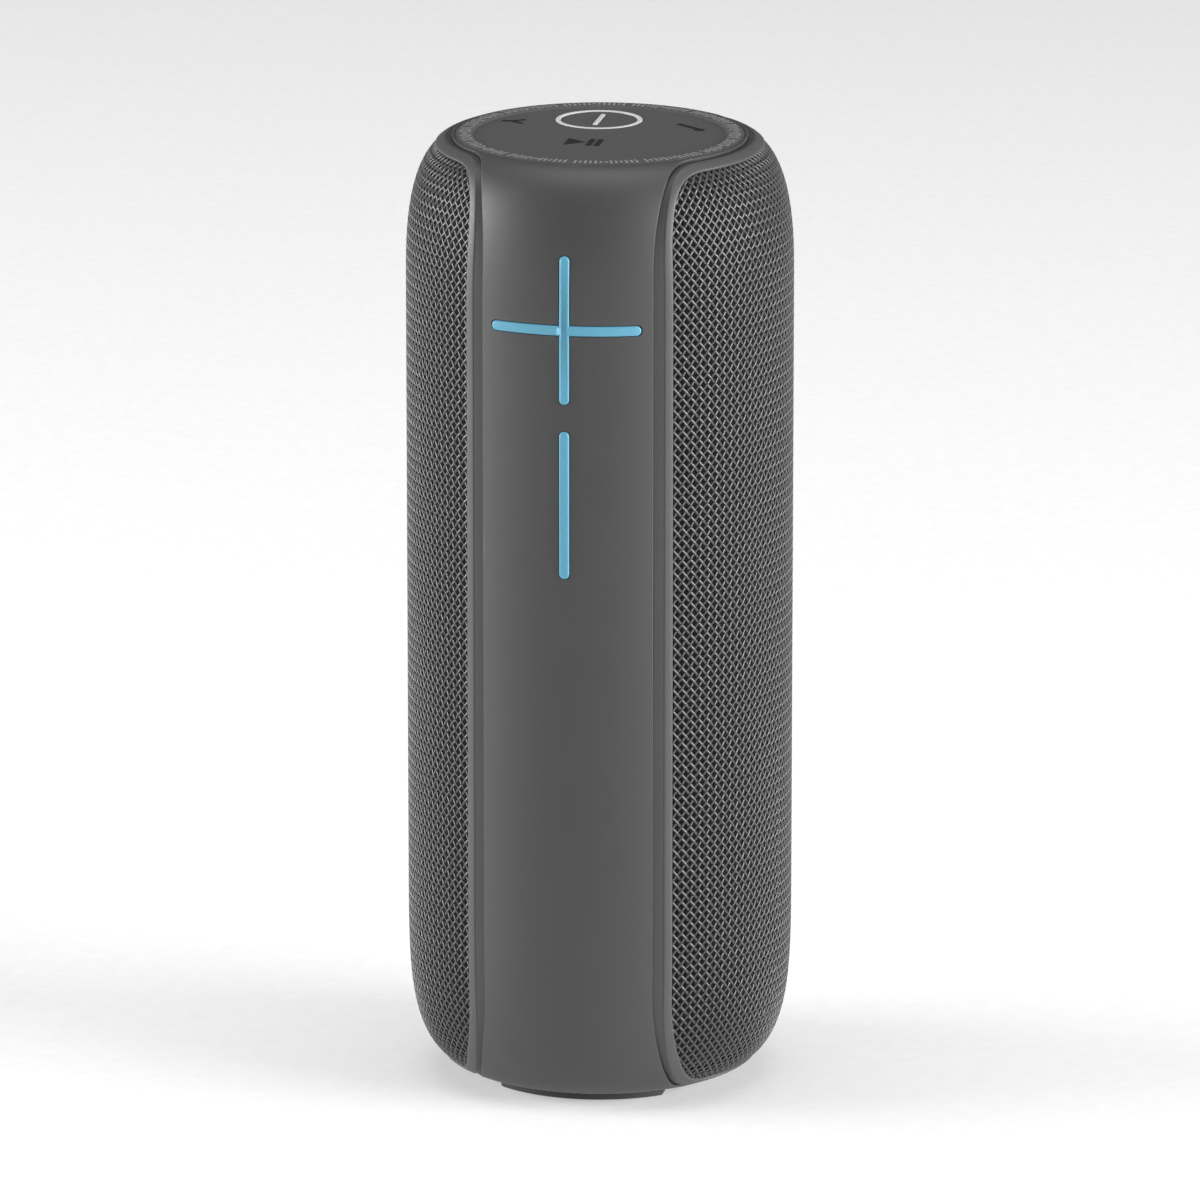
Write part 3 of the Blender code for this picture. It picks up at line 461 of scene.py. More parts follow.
def half_outline(outline):
    """(angle from the window's middle, rise), from the middle of its base, up one side and to the middle
    of its top."""
    edge = 90 - outline["edge"]
    turn = np.linspace(0, math.pi / 2, 500)

    def corner(where, foot, sign):
        reach, angle, length, power = outline[where]
        angles = edge - angle + angle * np.cos(turn).clip(0) ** (2 / power)
        rises = foot + sign * (reach - length + length * np.sin(turn) ** (2 / power))
        return evenly(angles, rises, CORNER_STATIONS)

    base, top = corner("base", 0.0, -1)[::-1], corner("top", STRAIGHT, 1)

    def line(a, b, count):
        return np.linspace(a, b, count + 1)

    parts = [line((0.0, base[0][1]), base[0], EDGE_STATIONS), base[1:],
             line(base[-1], top[0], SIDE_STATIONS)[1:], top[1:],
             line(top[-1], (0.0, top[-1][1]), EDGE_STATIONS)[1:]]
    return np.concatenate(parts)


def whole_outline(outline):
    """The half outline and its mirror image, all the way round."""
    half = half_outline(outline)
    other = half[-2:0:-1] * (-1, 1)
    return np.concatenate([half, other])


def in_millimetres(step, rise):
    """A step of (angle, rise) as lengths along the skin."""
    return np.stack([np.radians(step[:, 0]) * skin(rise)[0], step[:, 1]], -1)


# ---------------------------------------------------------------- shell halves

# The panel's rounded edge at a window: how far from the edge, and how deep.
RIM_ROWS = ((0.0, 1.3), (0.0, 0.6), (0.0, 0.16), (0.03, 0.08), (0.08, 0.03), (0.16, 0.0), (0.5, 0.0),
            (0.85, 0.0))
PANEL_ROWS = 16


def panel_quarter():
    """Half of one shell half as rows from the window's edge out to the spine's middle, the hoop's inner edge
    and the base's hole: angle from the window's middle, rise, outer depth and inner depth."""
    edge, bead = half_outline(SPINE_EDGE), half_outline(BEAD_EDGE)
    out = in_millimetres(edge - bead, edge[:, 1])
    out /= np.linalg.norm(out, axis=1)[:, None]
    top_rise = rise_at_radius(HOOP_RADIUS)
    base_rise = BASE_RISE - (RADIUS - BASE_CORNER["radial"] - BASE_HOLE)
    far = edge.copy()
    base_end = EDGE_STATIONS + CORNER_STATIONS
    top_start = base_end + SIDE_STATIONS
    far[:EDGE_STATIONS + 1, 1] = base_rise
    far[-EDGE_STATIONS - 1:, 1] = top_rise
    far[base_end:top_start + 1, 0] = 90
    half = CORNER_STATIONS // 2
    turn_base, turn_top = EDGE_STATIONS + half, top_start + half
    far[EDGE_STATIONS:turn_base + 1] = np.linspace(far[EDGE_STATIONS], (90, base_rise), half + 1)
    far[turn_base:base_end + 1] = np.linspace((90, base_rise), far[base_end], half + 1)
    far[top_start:turn_top + 1] = np.linspace(far[top_start], (90, top_rise), half + 1)
    far[turn_top:-EDGE_STATIONS] = np.linspace((90, top_rise), far[-EDGE_STATIONS - 1], half + 1)
    room = np.linalg.norm(in_millimetres(far - edge, edge[:, 1]), axis=1)
    scale = np.minimum(1.0, 0.6 * room / RIM_ROWS[-1][0])[:, None]
    per_mm = np.stack([np.degrees(1 / skin(edge[:, 1])[0]), np.ones(len(edge))], -1)
    rows, outer, inner = [], [], []
    for n, (offset, depth) in enumerate(RIM_ROWS):
        rows.append(edge + out * offset * scale * per_mm)
        outer.append(depth * scale[:, 0] ** 0.5)
        inner.append(edge + out * (RIM_ROWS[-1][0] * n / (len(RIM_ROWS) - 1)) * scale * per_mm)
    start = rows[-1]
    for k in range(1, PANEL_ROWS + 1):
        rows.append(start + (far - start) * (k / PANEL_ROWS))
        outer.append(np.zeros(len(edge)))
        inner.append(rows[-1])
    return np.array(rows), np.array(outer), np.array(inner)


def shell_half(name, front):
    """One half of the shell, made of two mirrored quarters that meet on the spine's middle."""
    rows, depth, inner = panel_quarter()
    facing = 1 if front else -1
    outer_points, inner_points, quads = [], [], []
    for side in SIDES.values():
        for source, target, deep in ((rows, outer_points, depth), (inner, inner_points, WALL)):
            degrees = side * (90 - facing * source[..., 0])
            target.append(on_body(degrees, source[..., 1], deep).reshape(-1, 3))
        faces = grid_quads(*rows.shape[:2], first=len(quads) * depth.size)
        quads.append(faces if side * facing > 0 else faces[:, ::-1])
    return thickened(name, np.concatenate(outer_points), np.concatenate(inner_points), np.concatenate(quads))


def volume_outlines(grow):
    """The cross's arms wrap round the spine, so their slots are longer, for the key to go straight in."""
    half = STROKE / 2 + grow
    cross = cross_outline(PLUS_HALF_WIDTH + 2 * grow, PLUS_HALF_HEIGHT + grow, half)
    bar = turned_outline(stadium(MINUS_HALF_HEIGHT + grow, half), 90)
    return {"up": (PLUS_CENTRE, cross), "down": (MINUS_CENTRE, bar)}


def bay_outline(grow):
    """The socket bay's outline, and its cover's."""
    return rectangle(2 * (BAY_HALF_WIDTH + grow), 2 * (BAY_HALF_HEIGHT + grow), BAY_CORNER + grow)


def make_shells():
    """Both halves of the shell, with the volume keys' slots and the socket bay cut out."""
    front = shell_half("shell_front_skin", True)
    slots = [relief(f"slot_{name}", [outline], spine_place(height), CUT_TOP, CUT_BASE, 0.0, wraps=True)
             for name, (height, outline) in volume_outlines(SLOT_GAP).items()]
    smooth_as_skin(cut_out(front, slots))
    rear = shell_half("shell_rear_skin", False)
    bay = relief("bay", [bay_outline(BAY_GAP)], spine_place(BAY_CENTRE, 180.0), CUT_TOP, CUT_BASE, 0.0,
                 wraps=True)
    smooth_as_skin(cut_out(rear, [bay]))
    for ob, node in ((front, "front_shell"), (rear, "rear_shell")):
        stand_for(ob, "housing", "soft_shell", SHELL, node)


# ---------------------------------------------------------------- frames, woven wire and cloth

# Round the frame's section: 0 is the spine's edge, 1 the bead's outer edge and 2 the wire's edge, with depth.
FRAME_SECTION = (
    (0.02, 1.9), (0.02, 0.80), (0.06, 0.74), (0.13, 0.69), (0.3, 0.59), (0.5, 0.46), (0.7, 0.33),
    (0.85, 0.23), (0.96, 0.17), (1.0, 0.14), (1.03, 0.10), (1.06, 0.06), (1.10, 0.03), (1.2, 0.01),
    (1.4, 0.0), (1.6, 0.0), (1.8, 0.015), (1.90, 0.04), (1.95, 0.09), (1.97, 0.2), (1.975, 0.6), (1.975, 1.9))


def window_frame(name, side):
    """The raised bead round a window and the groove outside it, one section swept round the window."""
    spine, bead, wire = (whole_outline(outline) for outline in (SPINE_EDGE, BEAD_EDGE, MESH_EDGE))
    section = []
    for share, depth in FRAME_SECTION:
        place = spine + (bead - spine) * share if share <= 1 else bead + (wire - bead) * (share - 1)
        section.append(on_body(side * (90 - place[:, 0]), place[:, 1], depth))
    points = np.array(section)
    ob = mesh_object(name, points.reshape(-1, 3), grid_quads(len(section), len(spine), True, True))
    return smoothed(recalculated(ob), 50)


def inside(angle, rise, outline, grow):
    """True where a place lies inside a window's outline, grown by a length in mm."""
    wider = np.degrees(grow / skin(rise)[0])
    within = np.abs(angle) < 90 - outline["edge"] + wider
    for corner, foot, sign in ((outline["top"], STRAIGHT, 1), (outline["base"], 0.0, -1)):
        reach, turn, length, power = corner
        up = sign * (rise - foot) - (reach - length)
        along = np.abs(angle) - (90 - outline["edge"] - turn)
        curve = (along.clip(0) / (turn + wider)) ** power + (up.clip(0) / (length + grow)) ** power
        within &= (up < length + grow) & (curve < 1)
    return within


# More than the windows' own reach: degrees to each side of the middle, and rises at the base and the top.
WEAVE_SIDE = 60.0
WEAVE_LOW = -60.0
WEAVE_HIGH = STRAIGHT + 40.0


def wire_group(name, side, leaning, wires):
    """Wires of a plain weave laid on the bias: each leans one way up the window, and passes over and under
    the ones that lean the other way."""
    column = 360 / WEAVE_COLUMNS
    first, last = math.floor(2 * WEAVE_LOW / WEAVE_ROW), math.ceil(2 * WEAVE_HIGH / WEAVE_ROW)
    crossing = np.arange(first * WIRE_STEPS, last * WIRE_STEPS) / WIRE_STEPS
    swing = -leaning * WIRE_SWING * np.cos(math.pi * crossing)
    rise = crossing * WEAVE_ROW / 2
    points, quads, count = [], [], 0
    ring = np.arange(WIRE_SIDES) * 2 * math.pi / WIRE_SIDES
    for wire in wires:
        angle = (wire + leaning * crossing / 2) * column
        keep = np.flatnonzero(inside(angle, rise, MESH_EDGE, WIRE_TUCK))
        if len(keep) < 3:
            continue
        keep = np.arange(keep[0], keep[-1] + 1)
        degrees = side * (90 - angle[keep])
        centre = on_body(degrees, rise[keep], WIRE_DEPTH + swing[keep])
        outward = centre - on_body(degrees, rise[keep], WIRE_DEPTH + swing[keep] + 1.0)
        ahead = np.gradient(centre, axis=0)
        ahead /= np.linalg.norm(ahead, axis=1)[:, None]
        across = np.cross(ahead, outward)
        across /= np.linalg.norm(across, axis=1)[:, None]
        face = np.cross(across, ahead)
        tube = (centre[:, None] + across[:, None] * (WIRE_WIDE * MM * np.cos(ring))[:, None]
                + face[:, None] * (WIRE_THICK * MM * np.sin(ring))[:, None])
        points.append(tube.reshape(-1, 3))
        quads.append(grid_quads(len(keep), WIRE_SIDES, False, True, count))
        quads.append(WIRE_CAP + count)
        count += len(keep) * WIRE_SIDES
        quads.append(WIRE_CAP[:, ::-1] + count - WIRE_SIDES)
    ob = mesh_object(name, np.concatenate(points), np.concatenate(quads)[:, ::-side])
    ob.data.shade_smooth()
    return ob


def make_grilles():
    """For each window a frame, the woven wire in four pieces, and a cloth."""
    span = math.ceil(WEAVE_SIDE * WEAVE_COLUMNS / 360 + (WEAVE_HIGH - WEAVE_LOW) / WEAVE_ROW)
    for side_name, side in SIDES.items():
        stand_for(window_frame(f"window_bead_{side_name}", side), "housing", "frame", BEAD,
                  f"grille_frame_{side_name}")
        for leaning, way in ((1, "rising"), (-1, "falling")):
            middle = round(-leaning * STRAIGHT / WEAVE_ROW / 2)
            halves = (range(middle - span, middle), range(middle, middle + span))
            for part, wires in zip("ab", halves):
                ob = wire_group(f"grille_wire_{side_name}_{way}_{part}", side, leaning, wires)
                stand_for(ob, "housing", "grille", WIRE, f"grille_mesh_{side_name}")
        make_cloth(side_name, side)


CLOTH_DEPTH = 2.85
CLOTH_THICKNESS = 0.3
CLOTH_REACH = (1.045, 1.012)  # round the body and up it, as a share of the window
CLOTH_RINGS = 24
CLOTH_RIPPLE = 0.05


def make_cloth(side_name, side):
    """A thin acoustic cloth stretched behind the wire, with its weave in gentle ripples."""
    edge = whole_outline(MESH_EDGE)
    middle = np.array([0.0, STRAIGHT / 2 - 4])
    shares = np.linspace(0, 1, CLOTH_RINGS + 1)[:, None, None]
    rings = middle + (edge - middle) * shares * np.array(CLOTH_REACH)
    angle, rise = rings[..., 0], rings[..., 1]
    ripple = CLOTH_RIPPLE * np.sin(rise * 0.35) * np.cos(np.radians(angle * 9))
    outer, inner = (on_body(side * (90 - angle), rise, depth + ripple).reshape(-1, 3)
                    for depth in (CLOTH_DEPTH + 0.06, CLOTH_DEPTH + 0.06 + CLOTH_THICKNESS))
    ob = thickened(f"acoustic_cloth_{side_name}", outer, inner, grid_quads(*angle.shape, False, True))
    ob.data.shade_smooth()
    stand_for(ob, "housing", "cloth", CLOTH, f"grille_cloth_{side_name}")
    low, high = (half_outline(MESH_EDGE)[k][1] * CLOTH_REACH[1] for k in (0, -1))


# ---------------------------------------------------------------- keys, deck and ring

def make_volume_keys():
    """The blue cross and bar, each with its stem's root under the skin."""
    for name, (height, outline) in volume_outlines(0.0).items():
        key = relief(f"volume_{name}_mark", [outline], spine_place(height), VOLUME_PROUD, -3.2, 0.32,
                     wraps=True)
        stand_for(key, f"volume_{name}_button", "volume_mark", MARK, f"volume_{name}_key")


def play_outlines(grow):
    """A triangle and two bars."""
    reach = 2 * grow
    triangle = [(-3.3 - grow, -2.7 - reach), (0.0 + reach, 0.0), (-3.3 - grow, 2.7 + reach)]
    bars = [turned_outline(rectangle(0.8 + 2 * grow, 5.4 + 2 * grow), 0, (x, 0.0)) for x in (1.15, 2.7)]
    return [triangle] + bars


def pairing_outlines(grow):
    """A fork of three bars."""
    stem = turned_outline(rectangle(2.0 + 2 * grow, 0.7 + 2 * grow), 0, (-1.4, 0.0))
    arms = [turned_outline(rectangle(2.9 + 2 * grow, 0.7 + 2 * grow), turn, (0.5, y))
            for turn, y in ((36, 0.8), (-36, -0.8))]
    return [stem] + arms


def call_outlines(grow):
    """A handset's bar with one end."""
    return [turned_outline(rectangle(6.2 + 2 * grow, 0.9 + 2 * grow), -42, (-0.6, 0.0)),
            turned_outline(rectangle(1.6 + 2 * grow, 1.3 + 2 * grow), -8, (1.8, -2.3))]


TOP_KEYS = {
    "play": (play_outlines, PLAY_PLACE, "play_pause_key"),
    "pairing": (pairing_outlines, PAIRING_PLACE, "pairing_key"),
    "call": (call_outlines, CALL_PLACE, "call_key"),
}
ICON_PROUD = 0.12
ICON_GAP = 0.1


def make_deck():
    """The recessed disc and the rim that blends into the hoop, with the keys' openings."""
    rim = [(float(skin(rise)[0]), float(skin(rise)[1])) for rise in
           np.linspace(rise_at_radius(24.9), rise_at_radius(DECK_RADIUS - 0.06), 8)]
    edge = rim[-1][1]
    profile = ([(0, DECK_TOP), (RECESS_RADIUS, DECK_TOP, 0.35), (RIM_RADIUS, BODY_HEIGHT, 0.35),
                (24.6, BODY_HEIGHT)] + rim
               + [(DECK_RADIUS, edge - 0.1), (DECK_RADIUS, edge - 1.6), (RIM_RADIUS, BODY_HEIGHT - 2.0),
                  (RECESS_RADIUS, DECK_TOP - 1.5), (0, DECK_TOP - 1.5)])
    deck = lathe("deck_disc", profile, 192)
    hole = RING_OUTER + RING_GAP
    cutters = [lathe("ring_hole", [(0, BODY_HEIGHT + 4), (hole, BODY_HEIGHT + 4), (hole, BODY_HEIGHT - 6),
                                   (0, BODY_HEIGHT - 6)], centre=POWER_PLACE)]
    for name, (outlines, centre, node) in TOP_KEYS.items():
        for n, outline in enumerate(outlines(ICON_GAP)):
            cutters.append(relief(f"{name}_hole_{n}", [outline], deck_place(centre), 3.0 + 0.01 * n,
                                  -4.0 - 0.01 * n, 0.0))
        key = relief(f"{name}_symbol", outlines(0.0), deck_place(centre), ICON_PROUD, -1.6, 0.1)
        stand_for(key, f"{name}_button", "icon", ICON, node)
    smoothed(cut_out(deck, cutters), 30)
    stand_for(deck, "housing", "deck", DECK, "top_deck")


def make_power_key():
    """The light ring, the key inside it and the upright bar on the key."""
    ring = lathe("power_ring", [
        (RING_INNER, DECK_TOP - 1.5), (RING_INNER, DECK_TOP + 0.1, 0.22), (RING_OUTER, DECK_TOP + 0.1, 0.22),
        (RING_OUTER, DECK_TOP - 1.5)], 128, POWER_PLACE)
    stand_for(ring, "housing", "light_ring", LIGHT, "power_light_ring")
    cap = RING_INNER - 0.14
    key = lathe("power_cap", [(0, DECK_TOP - 0.06), (3.4, DECK_TOP - 0.05), (cap - 0.6, DECK_TOP),
                              (cap, DECK_TOP, 0.25), (cap, DECK_TOP - 1.6), (0, DECK_TOP - 1.6)],
                centre=POWER_PLACE)
    stand_for(key, "power_button", "deck", DECK, "power_key")
    bar = relief("power_bar", [stadium(4.65, 0.42)], deck_place(POWER_PLACE, 90.0), 0.11, -0.3, 0.08)
    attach(finished(bar, LIGHT), "power_button")


# One run of the ring's marks by height: strokes, a dot in the middle and a gap at the end. The top is flat
# inside FLAT_RADIUS. A mark's faces join twelve points, with each upper one before its lower one.
MARKS_RADIUS = 25.2
MARK_RUNS = 12
DOT = 0.7
MARK_RUN = (2.2, 1.4, 2.2, 1.8, 2.2, 1.4, DOT, 2.2, 1.8, 1.4, 2.2, 1.8, 2.2, 0.0)
MARK_WIDTH = 0.42
MARK_LEVELS = (0.014, -0.1)
MARK_FACES = np.array([[0, 2, 8, 6], [2, 4, 10, 8], [1, 7, 9, 3], [3, 9, 11, 5], [0, 1, 3, 2],
                       [2, 3, 5, 4], [6, 8, 9, 7], [8, 10, 11, 9], [0, 6, 7, 1], [4, 5, 11, 10]])
FLAT_RADIUS = RADIUS - TOP_CORNER["radial"]


def make_band():
    """A ring of fine pale strokes and dots round the rim, like a dial's."""
    points, quads = [], []
    for n, high in enumerate(MARK_RUN * MARK_RUNS):
        if not high:
            continue
        turn = n * 360 / (len(MARK_RUN) * MARK_RUNS)
        wide = DOT if high == DOT else MARK_WIDTH
        quads.append(MARK_FACES + len(points))
        for across in (-wide / 2, wide / 2):
            for radius in (MARKS_RADIUS - high / 2, MARKS_RADIUS, MARKS_RADIUS + high / 2):
                past = FLAT_RADIUS - radius
                rise = TOP_RISE + past if past > 0 else rise_at_radius(radius)
                points += [on_body(turn + math.degrees(across / radius), rise, -level)
                           for level in MARK_LEVELS]
    ob = recalculated(mesh_object("rim_marks", np.array(points), np.concatenate(quads)))
    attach(finished(ob, PRINT), "housing")


# ---------------------------------------------------------------- rear cover, base and feet

def make_cover():
    """The flap over the sockets, with its finger tab and three grip ribs."""
    place = spine_place(BAY_CENTRE, 180.0)
    cover = relief("socket_flap", [bay_outline(0.0)], place, 0.0, -1.6, 0.3, wraps=True)
    stand_for(cover, "socket_cover", "rubber", RUBBER, "port_cover")
    tab = turned_outline(rectangle(6.0, 1.8, 0.8), 0, (0.0, 13.5))
    ribs = [turned_outline(stadium(3.6, 0.25), 0, (0.0, y)) for y in (-12.6, -11.4, -10.2)]
    lip = relief("socket_flap_tab", [tab], place, 0.36, -0.4, 0.3, wraps=True)
    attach(finished(lip, RUBBER), "socket_cover")
    grip = relief("socket_flap_ribs", ribs, place, 0.16, -0.4, 0.12, wraps=True)
    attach(finished(grip, RUBBER), "socket_cover")


def base_lift(radius):
    """How far the underside curves up at a radius."""
    low = RISES < 0
    return np.interp(radius, SKIN[0][low], SKIN[1][low], left=0.0)


def arc(radius, start, end, steps):
    """Points on a circle about the body's axis, by angles from +X towards the front."""
    return [(radius * math.cos(a), -radius * math.sin(a)) for a in np.linspace(start, end, steps)]


def foot_outline():
    """A crescent with rounded corners, between the base cap and the base's edge."""
    outer, inner, half, inner_y = 24.5, 13.9, 15.5, 12.0
    side, bend = math.acos(half / outer), math.asin(inner_y / inner)
    rim = arc(outer, math.pi - side, side, 41)
    points = [(-half, -inner_y)] + rim + [(half, -inner_y)] + arc(inner, bend, math.pi - bend, 15)
    tips = (0, 1, len(rim), len(rim) + 1)
    return filleted([(*p, 1.2 if n in tips else 0.5) for n, p in enumerate(points)], closed=True)


def foot_place(sign):
    """Placing on the underside, in front of the axis or behind it: the level is down from the base."""
    def place(x, y, level):
        follow = base_lift(np.hypot(x, y)) * (1 - level / FOOT_HEIGHT)
        return np.stack([x, sign * y, FOOT_HEIGHT - level + follow], -1) * MM

    return place


def make_base():
    """Both feet and the ringed cap between them."""
    for name, sign in (("front", 1), ("rear", -1)):
        pad = relief(f"foot_pad_{name}", [foot_outline()], foot_place(sign), FOOT_HEIGHT, 0.03, 0.35)
        stand_for(pad, "housing", "rubber", FOOT, f"{name}_foot")
    rings = []
    for radius in (11.5, 9.5, 7.5, 5.5):
        rings += [(radius + 0.3, 0.0), (radius + 0.15, 0.25), (radius - 0.15, 0.25), (radius - 0.3, 0.0)]
    rest = [(13.5, 0.0, 0.3), (13.5, 2.1), (4.7, 2.1), (4.7, 2.7), (0, 2.7)]
    cap = lathe("base_disc", [(0, 0.0)] + rings[::-1] + rest)
    stand_for(cap, "housing", "soft_shell", SHELL, "base_cap")


# ---------------------------------------------------------------- materials

def noise(tree, coordinates, scale, roughness):
    node = tree.nodes.new("ShaderNodeTexNoise")
    node.inputs["Scale"].default_value = scale
    node.inputs["Detail"].default_value = 3.0
    node.inputs["Roughness"].default_value = roughness
    tree.links.new(coordinates, node.inputs["Vector"])
    return node.outputs["Fac"]


def between(tree, value, low, high, start=0.3, end=0.7):
    """A value that goes from start to end, spread from low to high."""
    node = tree.nodes.new("ShaderNodeMapRange")
    tree.links.new(value, node.inputs["Value"])
    for name, number in (("From Min", start), ("From Max", end), ("To Min", low), ("To Max", high)):
        node.inputs[name].default_value = number
    return node.outputs["Result"]


def mixed(tree, share, first, second):
    """A mix of two colours, each a triple or another node's output. Without a share it's half and half."""
    node = tree.nodes.new("ShaderNodeMix")
    node.data_type = "RGBA"
    if share is not None:
        tree.links.new(share, node.inputs["Factor"])
    for socket, value in zip((node.inputs[6], node.inputs[7]), (first, second)):
        if isinstance(value, tuple):
            socket.default_value = (*value, 1.0)
        else:
            tree.links.new(value, socket)
    return node.outputs[2]


def scaled(colour, share):
    return tuple(min(1.0, c * share) for c in colour)


ROUGHNESS_SPREAD = 0.06
GRAIN_TINT = 0.06


def surface(name, colour, roughness, grain=2600.0, relief_height=0.00001, mottle=0.07, broad=45.0,
            metallic=0.0, coat=0.0, sheen=0.0, specular=0.5, wear=0.0, threads=None, emission=0.0):
    """A material with broad mottling, a fine grain in its tint, roughness and bump, and rubbed edges. Threads
    are lines that run one way or cross each other."""
    material = bpy.data.materials.new(name)
    material.use_nodes = True
    tree = material.node_tree
    shader = tree.nodes["Principled BSDF"]
    coordinates = tree.nodes.new("ShaderNodeTexCoord").outputs["Object"]
    patches = noise(tree, coordinates, broad, 0.6)
    fine = noise(tree, coordinates, grain, 0.55)
    mottled, speckled = (mixed(tree, between(tree, value, 0.0, 1.0), scaled(colour, 1 - part),
                               scaled(colour, 1 + part))
                         for value, part in ((patches, mottle), (fine, GRAIN_TINT)))
    tint = mixed(tree, None, mottled, speckled)
    height = fine
    if threads:
        lines = []
        for direction in threads["directions"]:
            wave = tree.nodes.new("ShaderNodeTexWave")
            wave.bands_direction = direction
            wave.inputs["Scale"].default_value = threads["scale"]
            wave.inputs["Distortion"].default_value = threads["distortion"]
            wave.inputs["Detail Scale"].default_value = 2.0
            tree.links.new(coordinates, wave.inputs["Vector"])
            lines.append(wave.outputs["Fac"])
        # Lines that run one way only are lifted by half, so they darken less.
        crossed = tree.nodes.new("ShaderNodeMath")
        crossed.operation = "MULTIPLY" if len(lines) > 1 else "ADD"
        crossed.inputs[1].default_value = 0.5
        for line, socket in zip(lines, crossed.inputs):
            tree.links.new(line, socket)
        height = crossed.outputs[0]
        tint = mixed(tree, height, scaled(colour, 0.55), tint)
    if wear:
        pointiness = tree.nodes.new("ShaderNodeNewGeometry").outputs["Pointiness"]
        edges = between(tree, pointiness, 0.0, wear, 0.52, 0.6)
        tint = mixed(tree, edges, tint, tuple(min(1.0, c * 2.0 + 0.02) for c in colour))
    tree.links.new(tint, shader.inputs["Base Color"])
    rough = between(tree, fine, roughness - ROUGHNESS_SPREAD, roughness + ROUGHNESS_SPREAD)
    tree.links.new(rough, shader.inputs["Roughness"])
    bump = tree.nodes.new("ShaderNodeBump")
    bump.inputs["Strength"].default_value = 0.6
    bump.inputs["Distance"].default_value = relief_height
    tree.links.new(height, bump.inputs["Height"])
    tree.links.new(bump.outputs["Normal"], shader.inputs["Normal"])
    for socket, value in (("Metallic", metallic), ("Coat Weight", coat), ("Coat Roughness", 0.3),
                          ("Sheen Weight", sheen), ("Specular IOR Level", specular)):
        shader.inputs[socket].default_value = value
    if emission:
        shader.inputs["Emission Color"].default_value = (*colour, 1.0)
        shader.inputs["Emission Strength"].default_value = emission
    return material


def grey(level, warmth=0.0):
    """A grey, with a little more red and less blue if it's warm."""
    return (level * (1 + warmth), level, level * (1 - warmth))


SHELL = surface("soft_touch_grey", grey(0.044, 0.004), 0.5, specular=0.55, wear=0.25, relief_height=0.000012)
# The deck and the power key's cap: the shell's soft-touch grey painted lighter, as painted light on the top,
# which the side lamps barely reach.
DECK = surface("soft_touch_deck_painted_lighter", grey(0.071, 0.004), 0.65, specular=0.35, relief_height=0.000012)
BEAD = surface("moulded_frame_grey", grey(0.06, 0.004), 0.5, specular=0.5, wear=0.2, grain=3400.0)
WIRE = surface("coated_wire_grey", grey(0.053), 0.31, grain=5200.0, mottle=0.1, broad=900.0,
               metallic=0.15, relief_height=0.000006)
CLOTH = surface("acoustic_cloth_black", grey(0.006), 0.92, sheen=0.2, relief_height=0.00006,
                threads=dict(directions=("X", "Z"), scale=900.0, distortion=0.6))
MARK = surface("volume_mark_blue", (0.095, 0.32, 0.45), 0.5, mottle=0.04, relief_height=0.000006)
LIGHT = surface("ring_diffuser_white", grey(0.62), 0.4, mottle=0.03, broad=400.0)
PRINT = surface("rim_print_grey", grey(0.19), 0.75, mottle=0.12, broad=700.0)
ICON = surface("symbol_rubber_dark", grey(0.014), 0.8, specular=0.2)
RUBBER = surface("flap_rubber_grey", grey(0.07), 0.66, grain=2000.0, relief_height=0.00002)
FOOT = surface("foot_rubber_grey", grey(0.035), 0.7, grain=2000.0, relief_height=0.00002)
INNER = surface("inner_plastic_black", grey(0.02), 0.5, grain=1800.0)
STEEL = surface("plated_steel", grey(0.52), 0.3, metallic=1.0, mottle=0.05, grain=4200.0,
                threads=dict(directions=("Z",), scale=1500.0, distortion=2.5), relief_height=0.000004)
COPPER = surface("enamelled_copper", (0.66, 0.31, 0.16), 0.3, metallic=1.0,
                 threads=dict(directions=("X",), scale=2600.0, distortion=0.2), relief_height=0.00003)
PAPER = surface("pressed_pulp_black", grey(0.03), 0.88, grain=1500.0, mottle=0.2, relief_height=0.00008)
BOARD = surface("solder_mask_green", (0.012, 0.11, 0.045), 0.36, coat=0.4, mottle=0.2, broad=260.0,
                threads=dict(directions=("X", "Z"), scale=420.0, distortion=4.0), relief_height=0.00002)
CELL = surface("cell_wrap_blue", (0.07, 0.17, 0.38), 0.35, coat=0.3, mottle=0.05)
CONE = surface("radiator_plate_grey", grey(0.11), 0.42, metallic=0.4,
               threads=dict(directions=("Y",), scale=1100.0, distortion=0.4), relief_height=0.00001)


def finished(ob, material):
    """An object with one material."""
    ob.data.materials.clear()
    ob.data.materials.append(material)
    return ob


def stand_for(ob, body, slot, material, *nodes):
    """A piece takes its material, rides on a body and stands for CAD nodes."""
    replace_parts(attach(finished(ob, material), body), *nodes)


KEPT_LOOKS = (
    (STEEL, ("driver_basket", "driver_magnet", "shell_screw", "board_screw", "usb_socket", "card_socket",
             "aux_socket", "wireless_module")),
    (PAPER, ("driver_cone", "driver_dust_cap")),
    (RUBBER, ("driver_surround", "radiator_surround", "speaker_lead")),
    (CONE, ("radiator_plate",)),
    (COPPER, ("voice_coil",)),
    (BOARD, ("main_board", "button_board", "volume_board")),
    (CELL, ("battery_cell",)),
    (INNER, ("cabinet", "base_chassis", "top_chassis", "battery_holder", "port_bezel")),
)


def paint_kept_nodes():
    """Every CAD node that still shows gets the material of what it is made of."""
    for name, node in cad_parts.items():
        for material, starts in KEPT_LOOKS:
            if name.startswith(starts):
                for slot in node.material_slots:
                    slot.material = material


# ---------------------------------------------------------------- stage

CAMERA_AZIMUTH = 10.4
CAMERA_ELEVATION = 14.8
CAMERA_DISTANCE = 2.0568
CAMERA_TARGET = Vector((0.0, 0.0, 0.09064))
CAMERA_LENS = 328.6
LIGHTS_AIM = Vector((0.0, 0.0, 0.09))
FLOOR_HALF = 3.0
FLOOR_POINTS = 41
FLOOR_LEVEL = -0.0002


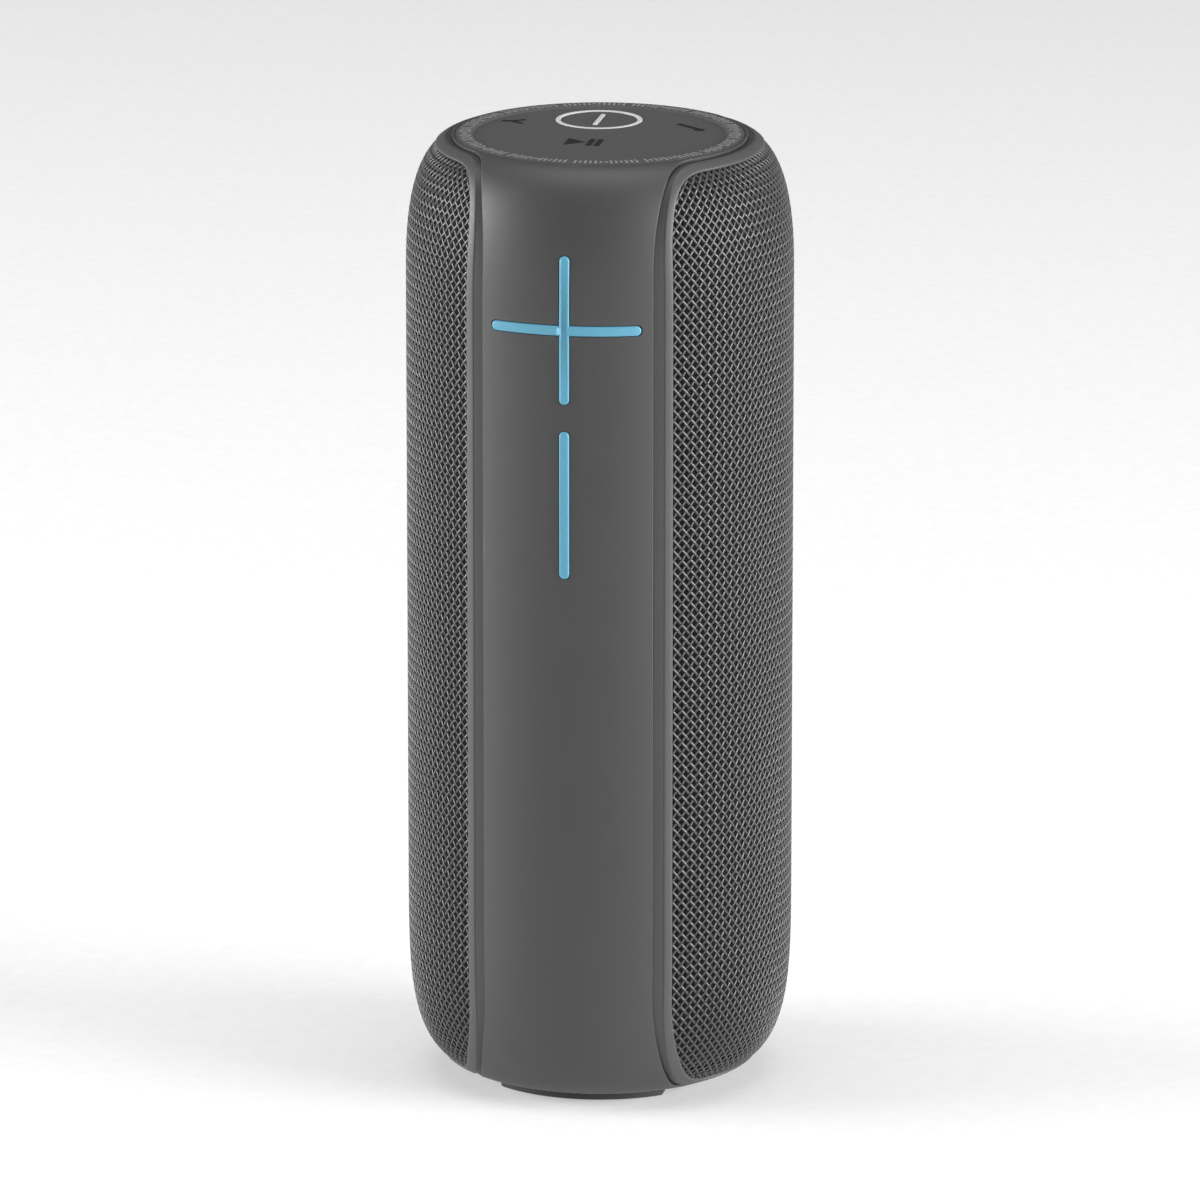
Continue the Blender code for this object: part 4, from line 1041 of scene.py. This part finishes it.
def direction(azimuth, elevation):
    """The unit vector towards a place round the speaker: azimuth from the front towards the right."""
    a, e = math.radians(azimuth), math.radians(elevation)
    return Vector((math.sin(a) * math.cos(e), -math.cos(a) * math.cos(e), math.sin(e)))


def make_camera():
    data = bpy.data.cameras.new("camera")
    data.sensor_width = 36.0
    data.lens = CAMERA_LENS
    data.clip_end = 30.0
    camera = bpy.data.objects.new("camera", data)
    back = direction(CAMERA_AZIMUTH, CAMERA_ELEVATION)
    camera.location = CAMERA_TARGET + back * CAMERA_DISTANCE
    camera.rotation_euler = back.to_track_quat("Z", "Y").to_euler()
    bpy.context.scene.collection.objects.link(camera)
    bpy.context.scene.camera = camera


def soft_light(name, azimuth, elevation, distance, size, power):
    data = bpy.data.lights.new(name, "AREA")
    data.shape = "RECTANGLE"
    data.size, data.size_y = size
    data.energy = power
    light = bpy.data.objects.new(name, data)
    back = direction(azimuth, elevation)
    light.location = LIGHTS_AIM + back * distance
    light.rotation_euler = back.to_track_quat("Z", "Y").to_euler()
    bpy.context.scene.collection.objects.link(light)


def make_stage():
    """A dim white world, a soft light at each side and above, and a pale floor that glows a little."""
    scene = bpy.context.scene
    scene.view_settings.view_transform = "Standard"
    world = bpy.data.worlds.new("studio")
    world.use_nodes = True
    background = world.node_tree.nodes["Background"]
    background.inputs["Color"].default_value = (1.0, 1.0, 1.0, 1.0)
    background.inputs["Strength"].default_value = 0.12
    scene.world = world
    soft_light("left_box", -80, 11, 1.8, (1.1, 0.8), 46.0)
    soft_light("right_box", 80, 11, 1.8, (1.1, 0.8), 56.0)
    soft_light("top_box", 0, 90, 1.4, (1.2, 1.2), 11.0)
    steps = np.linspace(-FLOOR_HALF, FLOOR_HALF, FLOOR_POINTS)
    across, along = np.meshgrid(steps, steps, indexing="ij")
    points = np.stack([across, along, np.full(across.shape, FLOOR_LEVEL)], -1).reshape(-1, 3)
    floor = mesh_object("floor", points, grid_quads(FLOOR_POINTS, FLOOR_POINTS))
    finished(floor, surface("pale_floor", grey(0.62), 0.9, grain=300.0, mottle=0.004, broad=3.0,
                            relief_height=0.00001, specular=0.1, emission=0.55))


make_camera()
make_stage()
make_shells()
make_grilles()
make_volume_keys()
make_deck()
make_power_key()
make_band()
make_cover()
make_base()
paint_kept_nodes()
